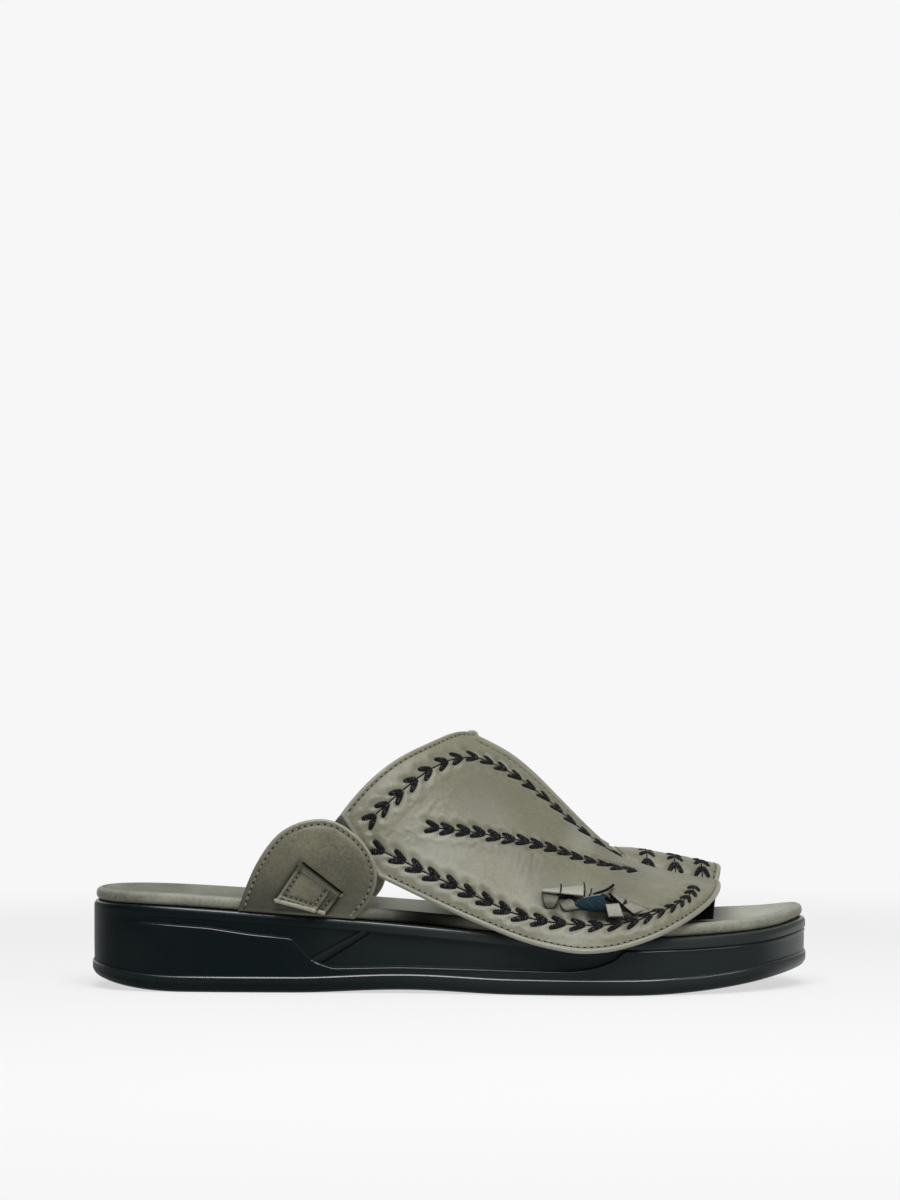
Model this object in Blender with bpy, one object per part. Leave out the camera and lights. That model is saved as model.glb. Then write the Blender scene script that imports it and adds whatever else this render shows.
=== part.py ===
"""Right-foot slip-on sandal of the eastern Arabian kind: moulded outsole, dished insole, leaf-shaped instep
panel, ring for the big toe, two slotted side tabs and a small bound knot of leather strips.

Tables and named sizes are in millimetres. +X points to the toe, +Y to the inner (medial) side of the foot
and +Z up. The sole stands on z = 0.
"""

import math

import bmesh
import bpy
import numpy as np
from mathutils import Matrix, Vector

MM = 0.001
CLEARANCE = 0.35

# Outsole
SOLE_LENGTH = 284.8
PLAN_SHIFT = 3.1
HEEL_SPRING = 4.6
HEEL_SPRING_LENGTH = 38.0
HEEL_SPRING_POWER = 2.2
TOE_SPRING = 7.5
TOE_SPRING_LENGTH = 71.0
TOE_SPRING_POWER = 1.9
ARCH_RISE = 1.3
ARCH_BACK, ARCH_FRONT = -62.0, 26.0
FOOT_RIM_HEIGHT = 6.0
FOOT_RIM_PROUD = 0.6
LIP_HEIGHT = 4.3
LIP_PROUD = 0.5
LIP_FADE_BACK = -65.0
LIP_FADE_LENGTH = 35.0
BAND_BELOW_LIP = 0.9
PANEL_LEAN = 19.3
PANEL_LEAN_AT = -33.0
PANEL_LEAN_REACH = 44.0
PANEL_STEP_WIDTH = 0.5
PANEL_STEPS = (-35.3, -31.3)
SOLE_STATIONS = 46

# Insole
INSOLE_INSET = 2.4
INSOLE_HEIGHT = 5.0
INSOLE_RIM_WIDTH = 2.4
INSOLE_DISH = 3.0
INSOLE_DISH_POWER = 2.6
INSOLE_DISH_FULL_WIDTH = 40.0
INSOLE_COLUMNS = 8
INSOLE_STATIONS = 38

# Upper
WALL = 2.6
INNER_HALF_WALL = 1.8
BASE_DROP = 9.0
GIRTH_LENGTH = 90.0
CREST_LAP = 0.03
CREST_BACK_X = 8.4
CREST_FRONT_X = 62.5
TIP_X = 107.0
PANEL_ROWS_TO_CREST_FRONT = 15
PANEL_ROWS = 22
OUTER_HALF_COLUMNS = 16
INNER_HALF_COLUMNS = 13

# Side tabs and the strap tails that thread them
TAB_WALL = 1.8
TAB_GAP = 0.4
TAB_INNER_SHARE = 0.86
TAB_COLUMNS, TAB_ROWS = 14, 12
TAIL_WALL = 1.6
TAIL_PLY = 1.3
TAIL_PLY_SHARE = 0.8
SLIT_RUN = 4.4
SLIT_LEAD = 1.0
SLIT_SLACK = 0.4

# Toe ring
RING_WALL = 1.8
RING_SQUARENESS = 3.2
RING_OUTER_LEG_Y = 5.5
RING_LEG_LIFT = 0.6
RING_CROWDING = 0.55
RING_ARC_STEPS, RING_WIDTH_STEPS = 28, 9

# Bound knot of leather strips on the outer half
KNOT_AT = (54.0, 34.0)
KNOT_CORE_RADIUS = 1.2
KNOT_LIFT = 2.7
KNOT_LEAN = 0.05
KNOT_CORE_OVERHANG = 3.4
ROLL_FLATNESS = 0.8
STRIP_WALL = 0.8
BINDING_WALL = 1.0
BINDING_LENGTH = 11.5

PLAN = [
    # x, outer edge y, inner edge y
    (-142.4, 0.0, 0.0),
    (-135.0, -21.0, 20.0),
    (-120.0, -30.0, 28.5),
    (-100.0, -33.6, 31.2),
    (-70.0, -35.6, 32.2),
    (-35.0, -36.6, 32.6),
    (0.0, -40.2, 36.2),
    (30.0, -46.0, 42.6),
    (55.0, -49.4, 46.8),
    (80.0, -47.8, 46.8),
    (100.0, -42.0, 44.2),
    (120.0, -30.6, 37.4),
    (135.0, -13.4, 25.4),
    (142.4, 7.0, 7.0),
]
DECK = [
    # x, height of the deck that the insole lies on
    (-143.0, 34.6),
    (-115.0, 33.8),
    (-70.0, 31.0),
    (-31.0, 28.2),
    (0.0, 25.6),
    (30.0, 23.4),
    (60.0, 22.4),
    (97.0, 22.7),
    (116.0, 23.6),
    (132.0, 25.2),
    (143.0, 27.4),
]
SIDE_LINE = [
    # x, height of the line above which the side is set back
    (-150.0, 27.6),
    (-127.0, 27.3),
    (-95.0, 25.1),
    (-78.0, 22.6),
    (-62.0, 21.1),
    (-58.0, 16.5),
    (-54.0, 12.2),
    (-46.0, 9.5),
    (-19.0, 10.1),
    (32.0, 9.3),
    (47.0, 9.2),
    (55.0, 10.2),
    (61.0, 12.2),
    (65.0, 14.2),
    (69.0, 18.2),
    (150.0, 30.0),
]
SET_BACK = [
    # x at the top of the set-back band, depth of the band
    (-150.0, 0.0),
    (-130.0, 0.0),
    (-118.0, 0.7),
    (PANEL_STEPS[0], 0.7),
    (PANEL_STEPS[0] + PANEL_STEP_WIDTH, 1.15),
    (PANEL_STEPS[1], 1.15),
    (PANEL_STEPS[1] + PANEL_STEP_WIDTH, 1.6),
    (150.0, 1.6),
]
LAST = [
    # x, outer flank y, inner flank y, crest y, crest height, roundness (1 an ellipse, 2 straight flanks)
    (-90.0, -29.7, 26.9, 2.0, 152.0, 1.0),
    (-60.0, -31.2, 27.6, 4.5, 136.5, 1.0),
    (-40.0, -31.9, 28.2, 6.0, 125.0, 1.03),
    (-20.0, -35.8, 31.0, 7.0, 113.6, 1.16),
    (8.0, -43.4, 38.6, 8.0, 98.0, 1.42),
    (24.0, -48.3, 43.9, 8.4, 89.4, 1.5),
    (38.0, -51.7, 48.0, 8.6, 76.9, 1.5),
    (50.0, -54.0, 49.8, 8.7, 64.6, 1.42),
    (60.0, -53.5, 50.0, 8.6, 54.9, 1.2),
    (68.0, -52.0, 49.6, 8.2, 49.0, 1.0),
    (80.0, -50.3, 48.6, 7.5, 44.2, 0.86),
    (95.0, -46.0, 46.6, 6.9, 40.8, 0.79),
    (107.0, -40.4, 43.6, 6.2, 38.6, 0.77),
    (120.0, -32.0, 38.0, 5.6, 36.6, 0.77),
]
OUTER_BACK_EDGE = [
    # x, z from the tail up to the crest
    (-43.4, 70.4),
    (-31.0, 85.0),
    (-19.0, 94.0),
    (-7.6, 99.4),
]
INNER_BACK_EDGE = [
    # x, z from the crest down to the tail
    (-7.6, 95.4),
    (-19.0, 88.4),
    (-31.0, 79.4),
    (-43.4, 63.8),
]
OUTER_LOWER_EDGE = [
    # x, z from the tail round the wing to the tip
    (-27.7, 45.7),
    (-3.5, 34.0),
    (19.7, 24.0),
    (31.0, 19.9),
    (42.9, 17.2),
    (50.6, 16.3),
    (58.4, 16.8),
    (70.0, 19.4),
    (81.8, 23.6),
    (93.8, 30.0),
    (102.0, 35.6),
]
INNER_LOWER_EDGE = [
    # x, z from the crest's front end down the wing to the tail
    (60.6, 47.0),
    (57.6, 38.0),
    (53.4, 28.6),
    (47.5, 20.8),
    (40.0, 18.4),
    (30.0, 20.6),
    (19.0, 24.6),
    (-3.5, 34.4),
    (-27.7, 45.7),
]
TAB_BACK_EDGE = [
    # x, height above the deck, from the deck up
    (-83.0, 0.0),
    (-78.6, 13.0),
    (-73.0, 24.2),
    (-66.4, 32.4),
    (-58.6, 37.0),
]
TAB_TOP_EDGE = [
    # x, height above the deck, from back to front
    (-58.6, 37.0),
    (-50.0, 38.6),
    (-42.0, 36.6),
    (-35.6, 32.4),
]
TAB_FRONT_EDGE = [
    # x, height above the deck, from the deck up
    (-37.0, 0.0),
    (-32.0, 5.6),
    (-28.6, 13.0),
    (-28.2, 20.0),
    (-31.0, 27.0),
    (-35.6, 32.4),
]
# x, z of the tail's upper and lower corner at the slit and at its free end
TAIL_AT_SLIT = ((-58.5, 51.4), (-42.3, 39.0))
TAIL_AT_END = ((-68.4, 36.2), (-48.7, 31.2))
RING = [
    # x, crown height
    (66.0, 53.8),
    (80.0, 52.2),
    (95.0, 49.5),
    (111.0, 46.3),
]
RING_BACK_EDGE = [
    # share of the way over the toe from outer leg to inner leg, x
    (0.0, 84.0),
    (0.18, 76.0),
    (0.36, 67.5),
    (0.6, 65.5),
    (1.0, 67.0),
]
RING_FRONT_EDGE = [
    # share of the way over the toe from outer leg to inner leg, x
    (0.0, 106.0),
    (0.3, 109.0),
    (0.6, 109.5),
    (1.0, 104.0),
]
STRIPS = {
    # name: width, then stops along the strip as x and z from the knot and height above the panel
    "back_wide": (6.0, [(-7.4, -0.2, 2.7), (-11.0, 0.6, 2.2), (-15.8, 1.0, 1.9)]),
    "back_flap": (4.0, [(-15.8, 3.2, 3.2), (-10.0, 5.0, 3.5), (-2.0, 6.2, 3.3)]),
    "back_lobe": (5.0, [(-7.4, -0.6, 3.55), (-9.4, -1.8, 3.6), (-12.2, -2.8, 3.1)]),
    "front_flat": (5.0, [(8.6, -1.2, 3.55), (10.5, -2.2, 3.7), (13.8, -3.2, 3.3)]),
    "front_high": (6.0, [(8.4, 0.6, 2.7), (12.0, 1.2, 2.2), (16.0, 0.2, 1.7), (22.5, -2.4, 1.1)]),
    "front_low": (3.2, [(8.6, -1.0, 1.85), (12.5, -2.8, 1.1), (17.5, -5.0, 0.7)]),
}
# the folded end that joins the flap to the wide strip: start, end and radius
STRIP_ROLL = ((-16.4, 4.8, 2.5), (-15.2, -2.8, 2.3), 1.4)

OLIVE_GREY = (0.235, 0.225, 0.175)
INSOLE_GREY = (0.26, 0.255, 0.205)
SOLE_BLACK = (0.012, 0.014, 0.015)
BINDING_BLUE = (0.03, 0.06, 0.085)


def smooth_through(points, values):
    """A twice-smooth curve through the table's values, as a function."""
    at, value = np.asarray(points, float), np.asarray(values, float)
    count, gap = len(at), np.diff(at)
    system, right = np.eye(count), np.zeros(count)
    for i in range(1, count - 1):
        system[i, i - 1 : i + 2] = gap[i - 1], 2 * (gap[i - 1] + gap[i]), gap[i]
        right[i] = 6 * ((value[i + 1] - value[i]) / gap[i] - (value[i] - value[i - 1]) / gap[i - 1])
    bend = np.linalg.solve(system, right)

    def read(x):
        x = np.clip(x, at[0], at[-1])
        i = np.clip(np.searchsorted(at, x) - 1, 0, count - 2)
        past, left = x - at[i], at[i + 1] - x
        cubic = (bend[i] * left**3 + bend[i + 1] * past**3) / (6 * gap[i])
        lower = (value[i] / gap[i] - bend[i] * gap[i] / 6) * left
        upper = (value[i + 1] / gap[i] - bend[i + 1] * gap[i] / 6) * past
        return cubic + lower + upper

    return read


def column(table, index):
    """A smooth curve through one column of a table, read by the table's first column."""
    return smooth_through([row[0] for row in table], [row[index] for row in table])


def straight_through(table):
    """Straight lines through the table's two columns, as a function."""
    at, value = zip(*table)
    return lambda x: np.interp(x, at, value)


def run_through(points):
    """A smooth open curve through pairs of x and girth, read by its share of length from 0 to 1."""
    points = np.asarray(points, float)
    steps = np.diff(points, axis=0) * (1.0, GIRTH_LENGTH)
    length = np.concatenate([[0], np.cumsum(np.linalg.norm(steps, axis=1))])
    share = length / length[-1]
    across, up = smooth_through(share, points[:, 0]), smooth_through(share, points[:, 1])
    return lambda s: np.stack([across(s), up(s)], axis=-1)


def wave(x, centre, reach):
    """A smooth hump that is 1 at the centre and 0 beyond its reach."""
    near = np.clip(1 - np.abs(x - centre) / reach, 0, 1)
    return near * near * (3 - 2 * near)


# Sole form

HALF_LENGTH = SOLE_LENGTH / 2
PLAN_TURN = [math.acos(-row[0] / HALF_LENGTH) for row in PLAN]
outer_plan = smooth_through(PLAN_TURN, [row[1] + PLAN_SHIFT for row in PLAN])
inner_plan = smooth_through(PLAN_TURN, [row[2] + PLAN_SHIFT for row in PLAN])
deck = column(DECK, 1)
side_line_table = straight_through(SIDE_LINE)
set_back = straight_through(SET_BACK)


def turn_of(x):
    """The outline's own parameter at a length along the sole: 0 at the heel, pi at the toe."""
    return np.arccos(np.clip(-np.asarray(x, float) / HALF_LENGTH, -1, 1))


def outline(turn):
    """Point of the sole's plan: 0 to pi runs up the outer side, pi to 2 pi back down the inner side."""
    turn = np.mod(turn, 2 * math.pi)
    folded = np.where(turn <= math.pi, turn, 2 * math.pi - turn)
    y = np.where(turn <= math.pi, outer_plan(folded), inner_plan(folded))
    return np.stack([-HALF_LENGTH * np.cos(folded), y], axis=-1)


def outline_moved(turn, outward):
    """The outline's points moved outward, square to it."""
    small = 0.02
    along = outline(turn + small) - outline(turn - small)
    along /= np.linalg.norm(along, axis=-1, keepdims=True)
    square = np.stack([along[:, 1], -along[:, 0]], axis=-1)
    return outline(turn) + np.asarray(outward)[..., None] * square


def ground(x):
    """Height of the underside: heel and toe spring and the slight arch between two flat spots."""
    heel = np.clip((-HALF_LENGTH + HEEL_SPRING_LENGTH - x) / HEEL_SPRING_LENGTH, 0, 1)
    toe = np.clip((x - HALF_LENGTH + TOE_SPRING_LENGTH) / TOE_SPRING_LENGTH, 0, 1)
    arch = np.clip((x - ARCH_BACK) / (ARCH_FRONT - ARCH_BACK), 0, 1)
    rise = HEEL_SPRING * heel**HEEL_SPRING_POWER + TOE_SPRING * toe**TOE_SPRING_POWER
    return rise + ARCH_RISE * np.sin(math.pi * arch) ** 2


def lip_underside(x):
    """Height of the lower edge of the sole's top lip."""
    return deck(x) - LIP_HEIGHT


def side_line(x):
    """Lower edge of the set-back band, kept under the lip where the band runs out."""
    return np.minimum(side_line_table(x), lip_underside(x) - BAND_BELOW_LIP)


def lip_proud(x):
    """How far the lip stands out; it fades away towards the heel."""
    return LIP_PROUD * np.clip((x - LIP_FADE_BACK) / LIP_FADE_LENGTH, 0, 1)


def side_rows(x):
    """Rows of the sole's side from deck to underside: lean share, outward move, height at x."""
    depth = -set_back(x)
    leaned = x - PANEL_LEAN * wave(x, PANEL_LEAN_AT, PANEL_LEAN_REACH)
    middle = (side_line(leaned) + ground(x) + FOOT_RIM_HEIGHT) / 2
    rim = ground(x) + FOOT_RIM_HEIGHT
    return [
        (0.0, -2.0 + 0 * x, deck(x)),
        (0.0, -0.7 + lip_proud(x), deck(x) - 0.4),
        (0.0, lip_proud(x), deck(x) - 1.8),
        (0.0, lip_proud(x), lip_underside(x) + 0.2),
        (0.0, depth, lip_underside(x) - 0.3),
        (1.0, depth, side_line(leaned) + 0.3),
        (1.0, 0 * x, side_line(leaned) - 0.2),
        (0.5, 0 * x, middle),
        (0.0, -0.1 + 0 * x, rim + 0.3),
        (0.0, FOOT_RIM_PROUD + 0 * x, rim - 0.4),
        (0.0, FOOT_RIM_PROUD + 0 * x, ground(x) + 2.6),
        (0.0, -0.5 + 0 * x, ground(x) + 0.7),
        (0.0, -2.0 + 0 * x, ground(x)),
    ]


def sole_stations():
    """Turns of the stations from heel to toe, with pairs at the steps of the side panel."""
    even = np.linspace(0, math.pi, SOLE_STATIONS)
    steps = [x + ahead for x in PANEL_STEPS for ahead in (0, PANEL_STEP_WIDTH)]
    flats = [-HALF_LENGTH + HEEL_SPRING_LENGTH, ARCH_BACK, ARCH_FRONT, HALF_LENGTH - TOE_SPRING_LENGTH]
    added = turn_of(steps + flats)
    kept = [t for t in even if np.abs(added - t).min() > 0.012]
    return np.sort(np.concatenate([kept, added]))


def loop_turns(stations):
    """The stations up the outer side and back down the inner side, as one closed loop."""
    return np.concatenate([stations, 2 * math.pi - stations[-2:0:-1]])


# Upper form

last_columns = [column(LAST, i) for i in range(1, 6)]


def last_sizes(x):
    """Outer flank, inner flank and crest in y, crest and base height, and roundness at x."""
    outer, inner, crest_y, crest_z, roundness = (read(x) for read in last_columns)
    sides = (outer + PLAN_SHIFT, inner + PLAN_SHIFT, crest_y + PLAN_SHIFT)
    return *sides, crest_z, deck(x) - BASE_DROP, roundness


def last_surface(x, girth):
    """Point of the foot's form: girth -1 is the outer feather edge, 0 the crest and 1 the inner edge."""
    outer, inner, crest_y, crest_z, base_z, roundness = last_sizes(x)
    angle = np.abs(girth) * math.pi / 2
    side = np.where(girth < 0, outer, inner)
    y = crest_y + (side - crest_y) * np.sin(angle) ** roundness
    z = base_z + (crest_z - base_z) * np.cos(angle) ** roundness
    return np.stack([x + 0 * y, y, z], axis=-1)


def form(x, girth, lift):
    """Point at a height above the foot's form, square to it."""
    x, girth = np.asarray(x, float), np.asarray(girth, float)
    ahead, aside = 0.2, 0.004
    along = last_surface(x + ahead, girth) - last_surface(x - ahead, girth)
    around = last_surface(x, girth + aside) - last_surface(x, girth - aside)
    normal = np.cross(along, around)
    normal /= np.linalg.norm(normal, axis=-1, keepdims=True)
    return last_surface(x, girth) + normal * np.asarray(lift, float)[..., None]


def girth_at(x, z, side):
    """The girth at which the wall's outer face has this height; side is -1 for outer, 1 for inner."""
    *_, crest_z, base_z, roundness = last_sizes(x)
    share = np.clip((z - base_z) / (crest_z + 1.15 * WALL - base_z), 0, 1)
    return side * np.arccos(share ** (1 / roundness)) * 2 / math.pi


def on_side(rows, side):
    """Side-view points as pairs of x and girth."""
    return [(x, float(girth_at(x, z, side))) for x, z in rows]


def patch(back, front, start, end, columns, rows):
    """Grid of x and girth between four edges: columns from start to end, rows from back to front."""
    u = np.linspace(0, 1, columns + 1)[:, None, None]
    v = np.linspace(0, 1, rows + 1)[None, :, None]
    b, f = back(u[:, 0, 0])[:, None, :], front(u[:, 0, 0])[:, None, :]
    s, e = start(v[0, :, 0])[None, :, :], end(v[0, :, 0])[None, :, :]
    corners = (1 - u) * (1 - v) * s[:, :1] + (1 - u) * v * s[:, -1:]
    corners = corners + u * (1 - v) * e[:, :1] + u * v * e[:, -1:]
    return (1 - v) * b + v * f + (1 - u) * s + u * e - corners


def crest_run():
    """The lapped edge from the crest's back end to the tip, with rows closer on the steep crest."""
    to_front = np.linspace(CREST_BACK_X, CREST_FRONT_X, PANEL_ROWS_TO_CREST_FRONT + 1)
    to_tip = np.linspace(CREST_FRONT_X, TIP_X, PANEL_ROWS - PANEL_ROWS_TO_CREST_FRONT + 1)[1:]
    x = np.concatenate([to_front, to_tip])
    lap = CREST_LAP * np.clip((CREST_FRONT_X + 4 - x) / 10, 0, 1)
    points = np.stack([x, lap], axis=-1)
    share = np.linspace(0, 1, PANEL_ROWS + 1)
    return lambda s: np.stack([np.interp(s, share, points[:, i]) for i in (0, 1)], axis=-1)


def slit_axes():
    """Middle of the slit, its run and its square in the side view; the square points up and forward."""
    upper, lower = np.array(TAIL_AT_SLIT, float)
    run = (lower - upper) / np.linalg.norm(lower - upper)
    return (upper + lower) / 2, run, np.array([-run[1], run[0]])


def tail_grid(side, columns):
    """A strap tail from behind the tab through its slit to the free end.

    Gives its grid of x and girth, and the lift of its inner and of its outer face at each point.
    """
    _, _, square = slit_axes()
    upper, lower = np.array(TAIL_AT_SLIT)
    end_upper, end_lower = np.array(TAIL_AT_END)
    top = np.array(OUTER_BACK_EDGE[0] if side < 0 else INNER_BACK_EDGE[-1])
    bottom = np.array(OUTER_LOWER_EDGE[0] if side < 0 else INNER_LOWER_EDGE[-1])
    enter, leave = square * SLIT_LEAD, square * (SLIT_LEAD - SLIT_RUN)
    outside = WALL + 2 * TAB_GAP + TAB_WALL
    stops = [
        # upper corner, lower corner, lift, ply on the face
        ((top + upper) / 2, (bottom + lower) / 2, 0.0, 0.0),
        (upper + enter, lower + enter, 0.5, 0.0),
        (upper + leave, lower + leave, outside, TAIL_PLY),
        (end_upper, end_lower, outside, TAIL_PLY),
    ]
    share = np.linspace(0, 1, columns + 1)
    grid, low, high = [], [], []
    for upper_corner, lower_corner, lift, ply in stops:
        points = upper_corner + share[:, None] * (lower_corner - upper_corner)
        grid.append(np.column_stack([points[:, 0], girth_at(points[:, 0], points[:, 1], side)]))
        low.append(lift + 0 * share)
        high.append(lift + TAIL_WALL + ply * (share <= TAIL_PLY_SHARE))
    return np.array(grid), np.array(low), np.array(high)


def panel_grids():
    """Grids of x and girth of the outer half with its tip and of the inner half; both share the crest."""
    crest_back = (CREST_BACK_X, CREST_LAP)
    outer = patch(
        run_through(on_side(OUTER_BACK_EDGE, -1) + [crest_back]),
        run_through(on_side(OUTER_LOWER_EDGE, -1) + [(TIP_X, 0.0)]),
        run_through(on_side([OUTER_BACK_EDGE[0], OUTER_LOWER_EDGE[0]], -1)),
        crest_run(),
        OUTER_HALF_COLUMNS,
        PANEL_ROWS,
    )
    crest = outer[-1, : PANEL_ROWS_TO_CREST_FRONT + 1]
    share = np.linspace(0, 1, len(crest))
    inner = patch(
        run_through([crest_back] + on_side(INNER_BACK_EDGE, 1)),
        run_through([tuple(crest[-1])] + on_side(INNER_LOWER_EDGE, 1)),
        lambda s: np.stack([np.interp(s, share, crest[:, i]) for i in (0, 1)], axis=-1),
        run_through(on_side([INNER_BACK_EDGE[-1], INNER_LOWER_EDGE[-1]], 1)),
        INNER_HALF_COLUMNS,
        PANEL_ROWS_TO_CREST_FRONT,
    )
    return outer, inner


def lifted(grid, lift):
    """Points of a grid of x and girth at a height above the foot's form."""
    return form(grid[..., 0], grid[..., 1], np.broadcast_to(lift, grid.shape[:2]))


# Building

MATERIALS = {}


def material(name, colour, roughness):
    """The plain material of this name, made on first use."""
    if name not in MATERIALS:
        made = bpy.data.materials.new(name)
        made.use_nodes = True
        shader = made.node_tree.nodes["Principled BSDF"]
        shader.inputs["Base Color"].default_value = (*colour, 1.0)
        shader.inputs["Roughness"].default_value = roughness
        shader.inputs["Metallic"].default_value = 0.0
        MATERIALS[name] = made
    return MATERIALS[name]


def finish_solid(name, bm, finish):
    """Turns a bmesh in millimetres into a named object in metres with outward faces."""
    bmesh.ops.remove_doubles(bm, verts=bm.verts, dist=1e-5)
    bm.normal_update()
    bmesh.ops.recalc_face_normals(bm, faces=bm.faces)
    bmesh.ops.scale(bm, vec=(MM, MM, MM), verts=bm.verts)
    mesh = bpy.data.meshes.new(name)
    bm.to_mesh(mesh)
    bm.free()
    mesh.shade_smooth()
    mesh.set_sharp_from_angle(angle=math.radians(35))
    obj = bpy.data.objects.new(name, mesh)
    bpy.context.scene.collection.objects.link(obj)
    if finish:
        mesh.materials.append(finish)
    return obj


def add_points(bm, points):
    """Vertices for an array of points of any shape, as nested lists of the same shape."""
    if np.ndim(points) == 1:
        return bm.verts.new(points)
    return [add_points(bm, row) for row in points]


def add_grid(bm, verts, closed=False):
    """Quads over nested rows of vertices, closed round each row if asked."""
    for low, high in zip(verts, verts[1:]):
        count = len(low)
        for i in range(count if closed else count - 1):
            j = (i + 1) % count
            corners = dict.fromkeys((low[i], low[j], high[j], high[i]))
            if len(corners) > 2:
                bm.faces.new(corners)


def add_strips(bm, loop, stations):
    """Closes a sole loop with strips from its outer to its inner side."""
    inner = [loop[0]] + loop[: stations - 1 : -1] + [loop[stations - 1]]
    add_grid(bm, [loop[:stations], inner])


def wall_between(bm, inner, outer):
    """A closed wall from two grids of vertices of the same shape."""
    add_grid(bm, inner)
    add_grid(bm, outer)
    for row in (0, -1):
        add_grid(bm, [inner[row], outer[row]])
    for end in (0, -1):
        add_grid(bm, [[row[end] for row in inner], [row[end] for row in outer]])


def make_outsole():
    """The moulded sole: side rows with lip, set-back band, panel steps and foot rim."""
    stations = sole_stations()
    turns = loop_turns(stations)
    x = outline(turns)[:, 0]
    lean = -PANEL_LEAN * wave(x, PANEL_LEAN_AT, PANEL_LEAN_REACH)
    on_outer = turns <= math.pi
    bm = bmesh.new()
    loops = []
    for share, outward, z in side_rows(x):
        leaned = turn_of(x + share * lean)
        plan = outline_moved(np.where(on_outer, leaned, 2 * math.pi - leaned), outward)
        loops.append(add_points(bm, np.column_stack([plan, z])))
    add_grid(bm, loops, closed=True)
    for loop in (loops[0], loops[-1]):
        add_strips(bm, loop, len(stations))
    return finish_solid("outsole", bm, material("moulded_black", SOLE_BLACK, 0.42))


def dish(share):
    """How far the insole's middle lies under its rim at a share of the width."""
    return INSOLE_DISH * (1 - np.abs(2 * share - 1) ** INSOLE_DISH_POWER)


def insole_top(x, y):
    """Height of the insole's dished face."""
    reach = INSOLE_INSET + INSOLE_RIM_WIDTH
    low, high = outer_plan(turn_of(x)) + reach, inner_plan(turn_of(x)) - reach
    return deck(x) + INSOLE_HEIGHT - dish(np.clip((y - low) / (high - low), 0, 1))


def make_insole():
    """The padded insole with a rounded rim and a dished face."""
    stations = np.linspace(0, math.pi, INSOLE_STATIONS)
    turns = loop_turns(stations)
    count = len(stations)
    rows = [
        # inset from the insole's widest line, height above the deck
        (0.9, CLEARANCE),
        (0.15, 1.3),
        (0.0, 2.6),
        (0.55, INSOLE_HEIGHT - 0.8),
        (INSOLE_RIM_WIDTH, INSOLE_HEIGHT),
    ]
    bm = bmesh.new()
    loops = []
    for inset, height in rows:
        plan = outline_moved(turns, np.full(len(turns), -INSOLE_INSET - inset))
        loops.append(add_points(bm, np.column_stack([plan, deck(outline(turns)[:, 0]) + height])))
    add_grid(bm, loops, closed=True)
    add_strips(bm, loops[0], count)
    rim = loops[-1]
    inner_rim = [rim[0]] + rim[: count - 1 : -1] + [rim[count - 1]]
    lines = [rim[:count]]
    for share in np.linspace(0, 1, INSOLE_COLUMNS + 1)[1:-1]:
        line = [rim[0]]
        for low, high in zip(rim[1 : count - 1], inner_rim[1:-1]):
            point = low.co.lerp(high.co, share)
            taper = min(1.0, (high.co - low.co).length / INSOLE_DISH_FULL_WIDTH)
            point.z -= taper * float(dish(share))
            line.append(bm.verts.new(point))
        lines.append(line + [rim[count - 1]])
    add_grid(bm, lines + [inner_rim])
    return finish_solid("insole", bm, material("insole_leather", INSOLE_GREY, 0.6))


def make_upper():
    """The leaf panel: outer half with its tip, lapped at the crest over the inner half, and two tails."""
    outer, inner = panel_grids()
    tail, tail_low, tail_high = tail_grid(-1, PANEL_ROWS)
    bm = bmesh.new()
    outer_low = add_points(bm, np.concatenate([lifted(tail, tail_low)[::-1], lifted(outer, 0)]))
    outer_high = add_points(bm, np.concatenate([lifted(tail, tail_high)[::-1], lifted(outer, WALL)]))
    tail, tail_low, tail_high = tail_grid(1, PANEL_ROWS_TO_CREST_FRONT)
    inner_low = add_points(bm, np.concatenate([lifted(inner, 0), lifted(tail, tail_low)]))
    inner_high = add_points(bm, np.concatenate([lifted(inner, INNER_HALF_WALL), lifted(tail, tail_high)]))
    for low, high, tail_row in ((outer_low, outer_high, 0), (inner_low, inner_high, -1)):
        add_grid(bm, low)
        add_grid(bm, high)
        add_grid(bm, [low[tail_row], high[tail_row]])
        for end in (0, -1):
            add_grid(bm, [[row[end] for row in low], [row[end] for row in high]])
    # the step of the lap, closed at its two ends, and the free edge from its front end to the tip
    front = PANEL_ROWS_TO_CREST_FRONT
    add_grid(bm, [outer_high[-1][: front + 1], inner_high[0]])
    for row in (0, front):
        bm.faces.new((outer_low[-1][row], outer_high[-1][row], inner_high[0][row]))
    add_grid(bm, [outer_low[-1][front:], outer_high[-1][front:]])
    return finish_solid("upper", bm, material("vamp_leather", OLIVE_GREY, 0.55))


def tab_grid(side):
    """Grid of a side tab; the inner one is lower."""
    tall = 1.0 if side < 0 else TAB_INNER_SHARE

    def edge(rows):
        heights = [(x, float(deck(x)) + CLEARANCE + tall * rise) for x, rise in rows]
        return run_through(on_side(heights, side))

    foot_x = np.linspace(TAB_BACK_EDGE[0][0], TAB_FRONT_EDGE[0][0], 7)
    back, front, top = edge(TAB_BACK_EDGE), edge(TAB_FRONT_EDGE), edge(TAB_TOP_EDGE)
    return patch(back, front, edge([(x, 0.0) for x in foot_x]), top, TAB_ROWS, TAB_COLUMNS)


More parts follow.
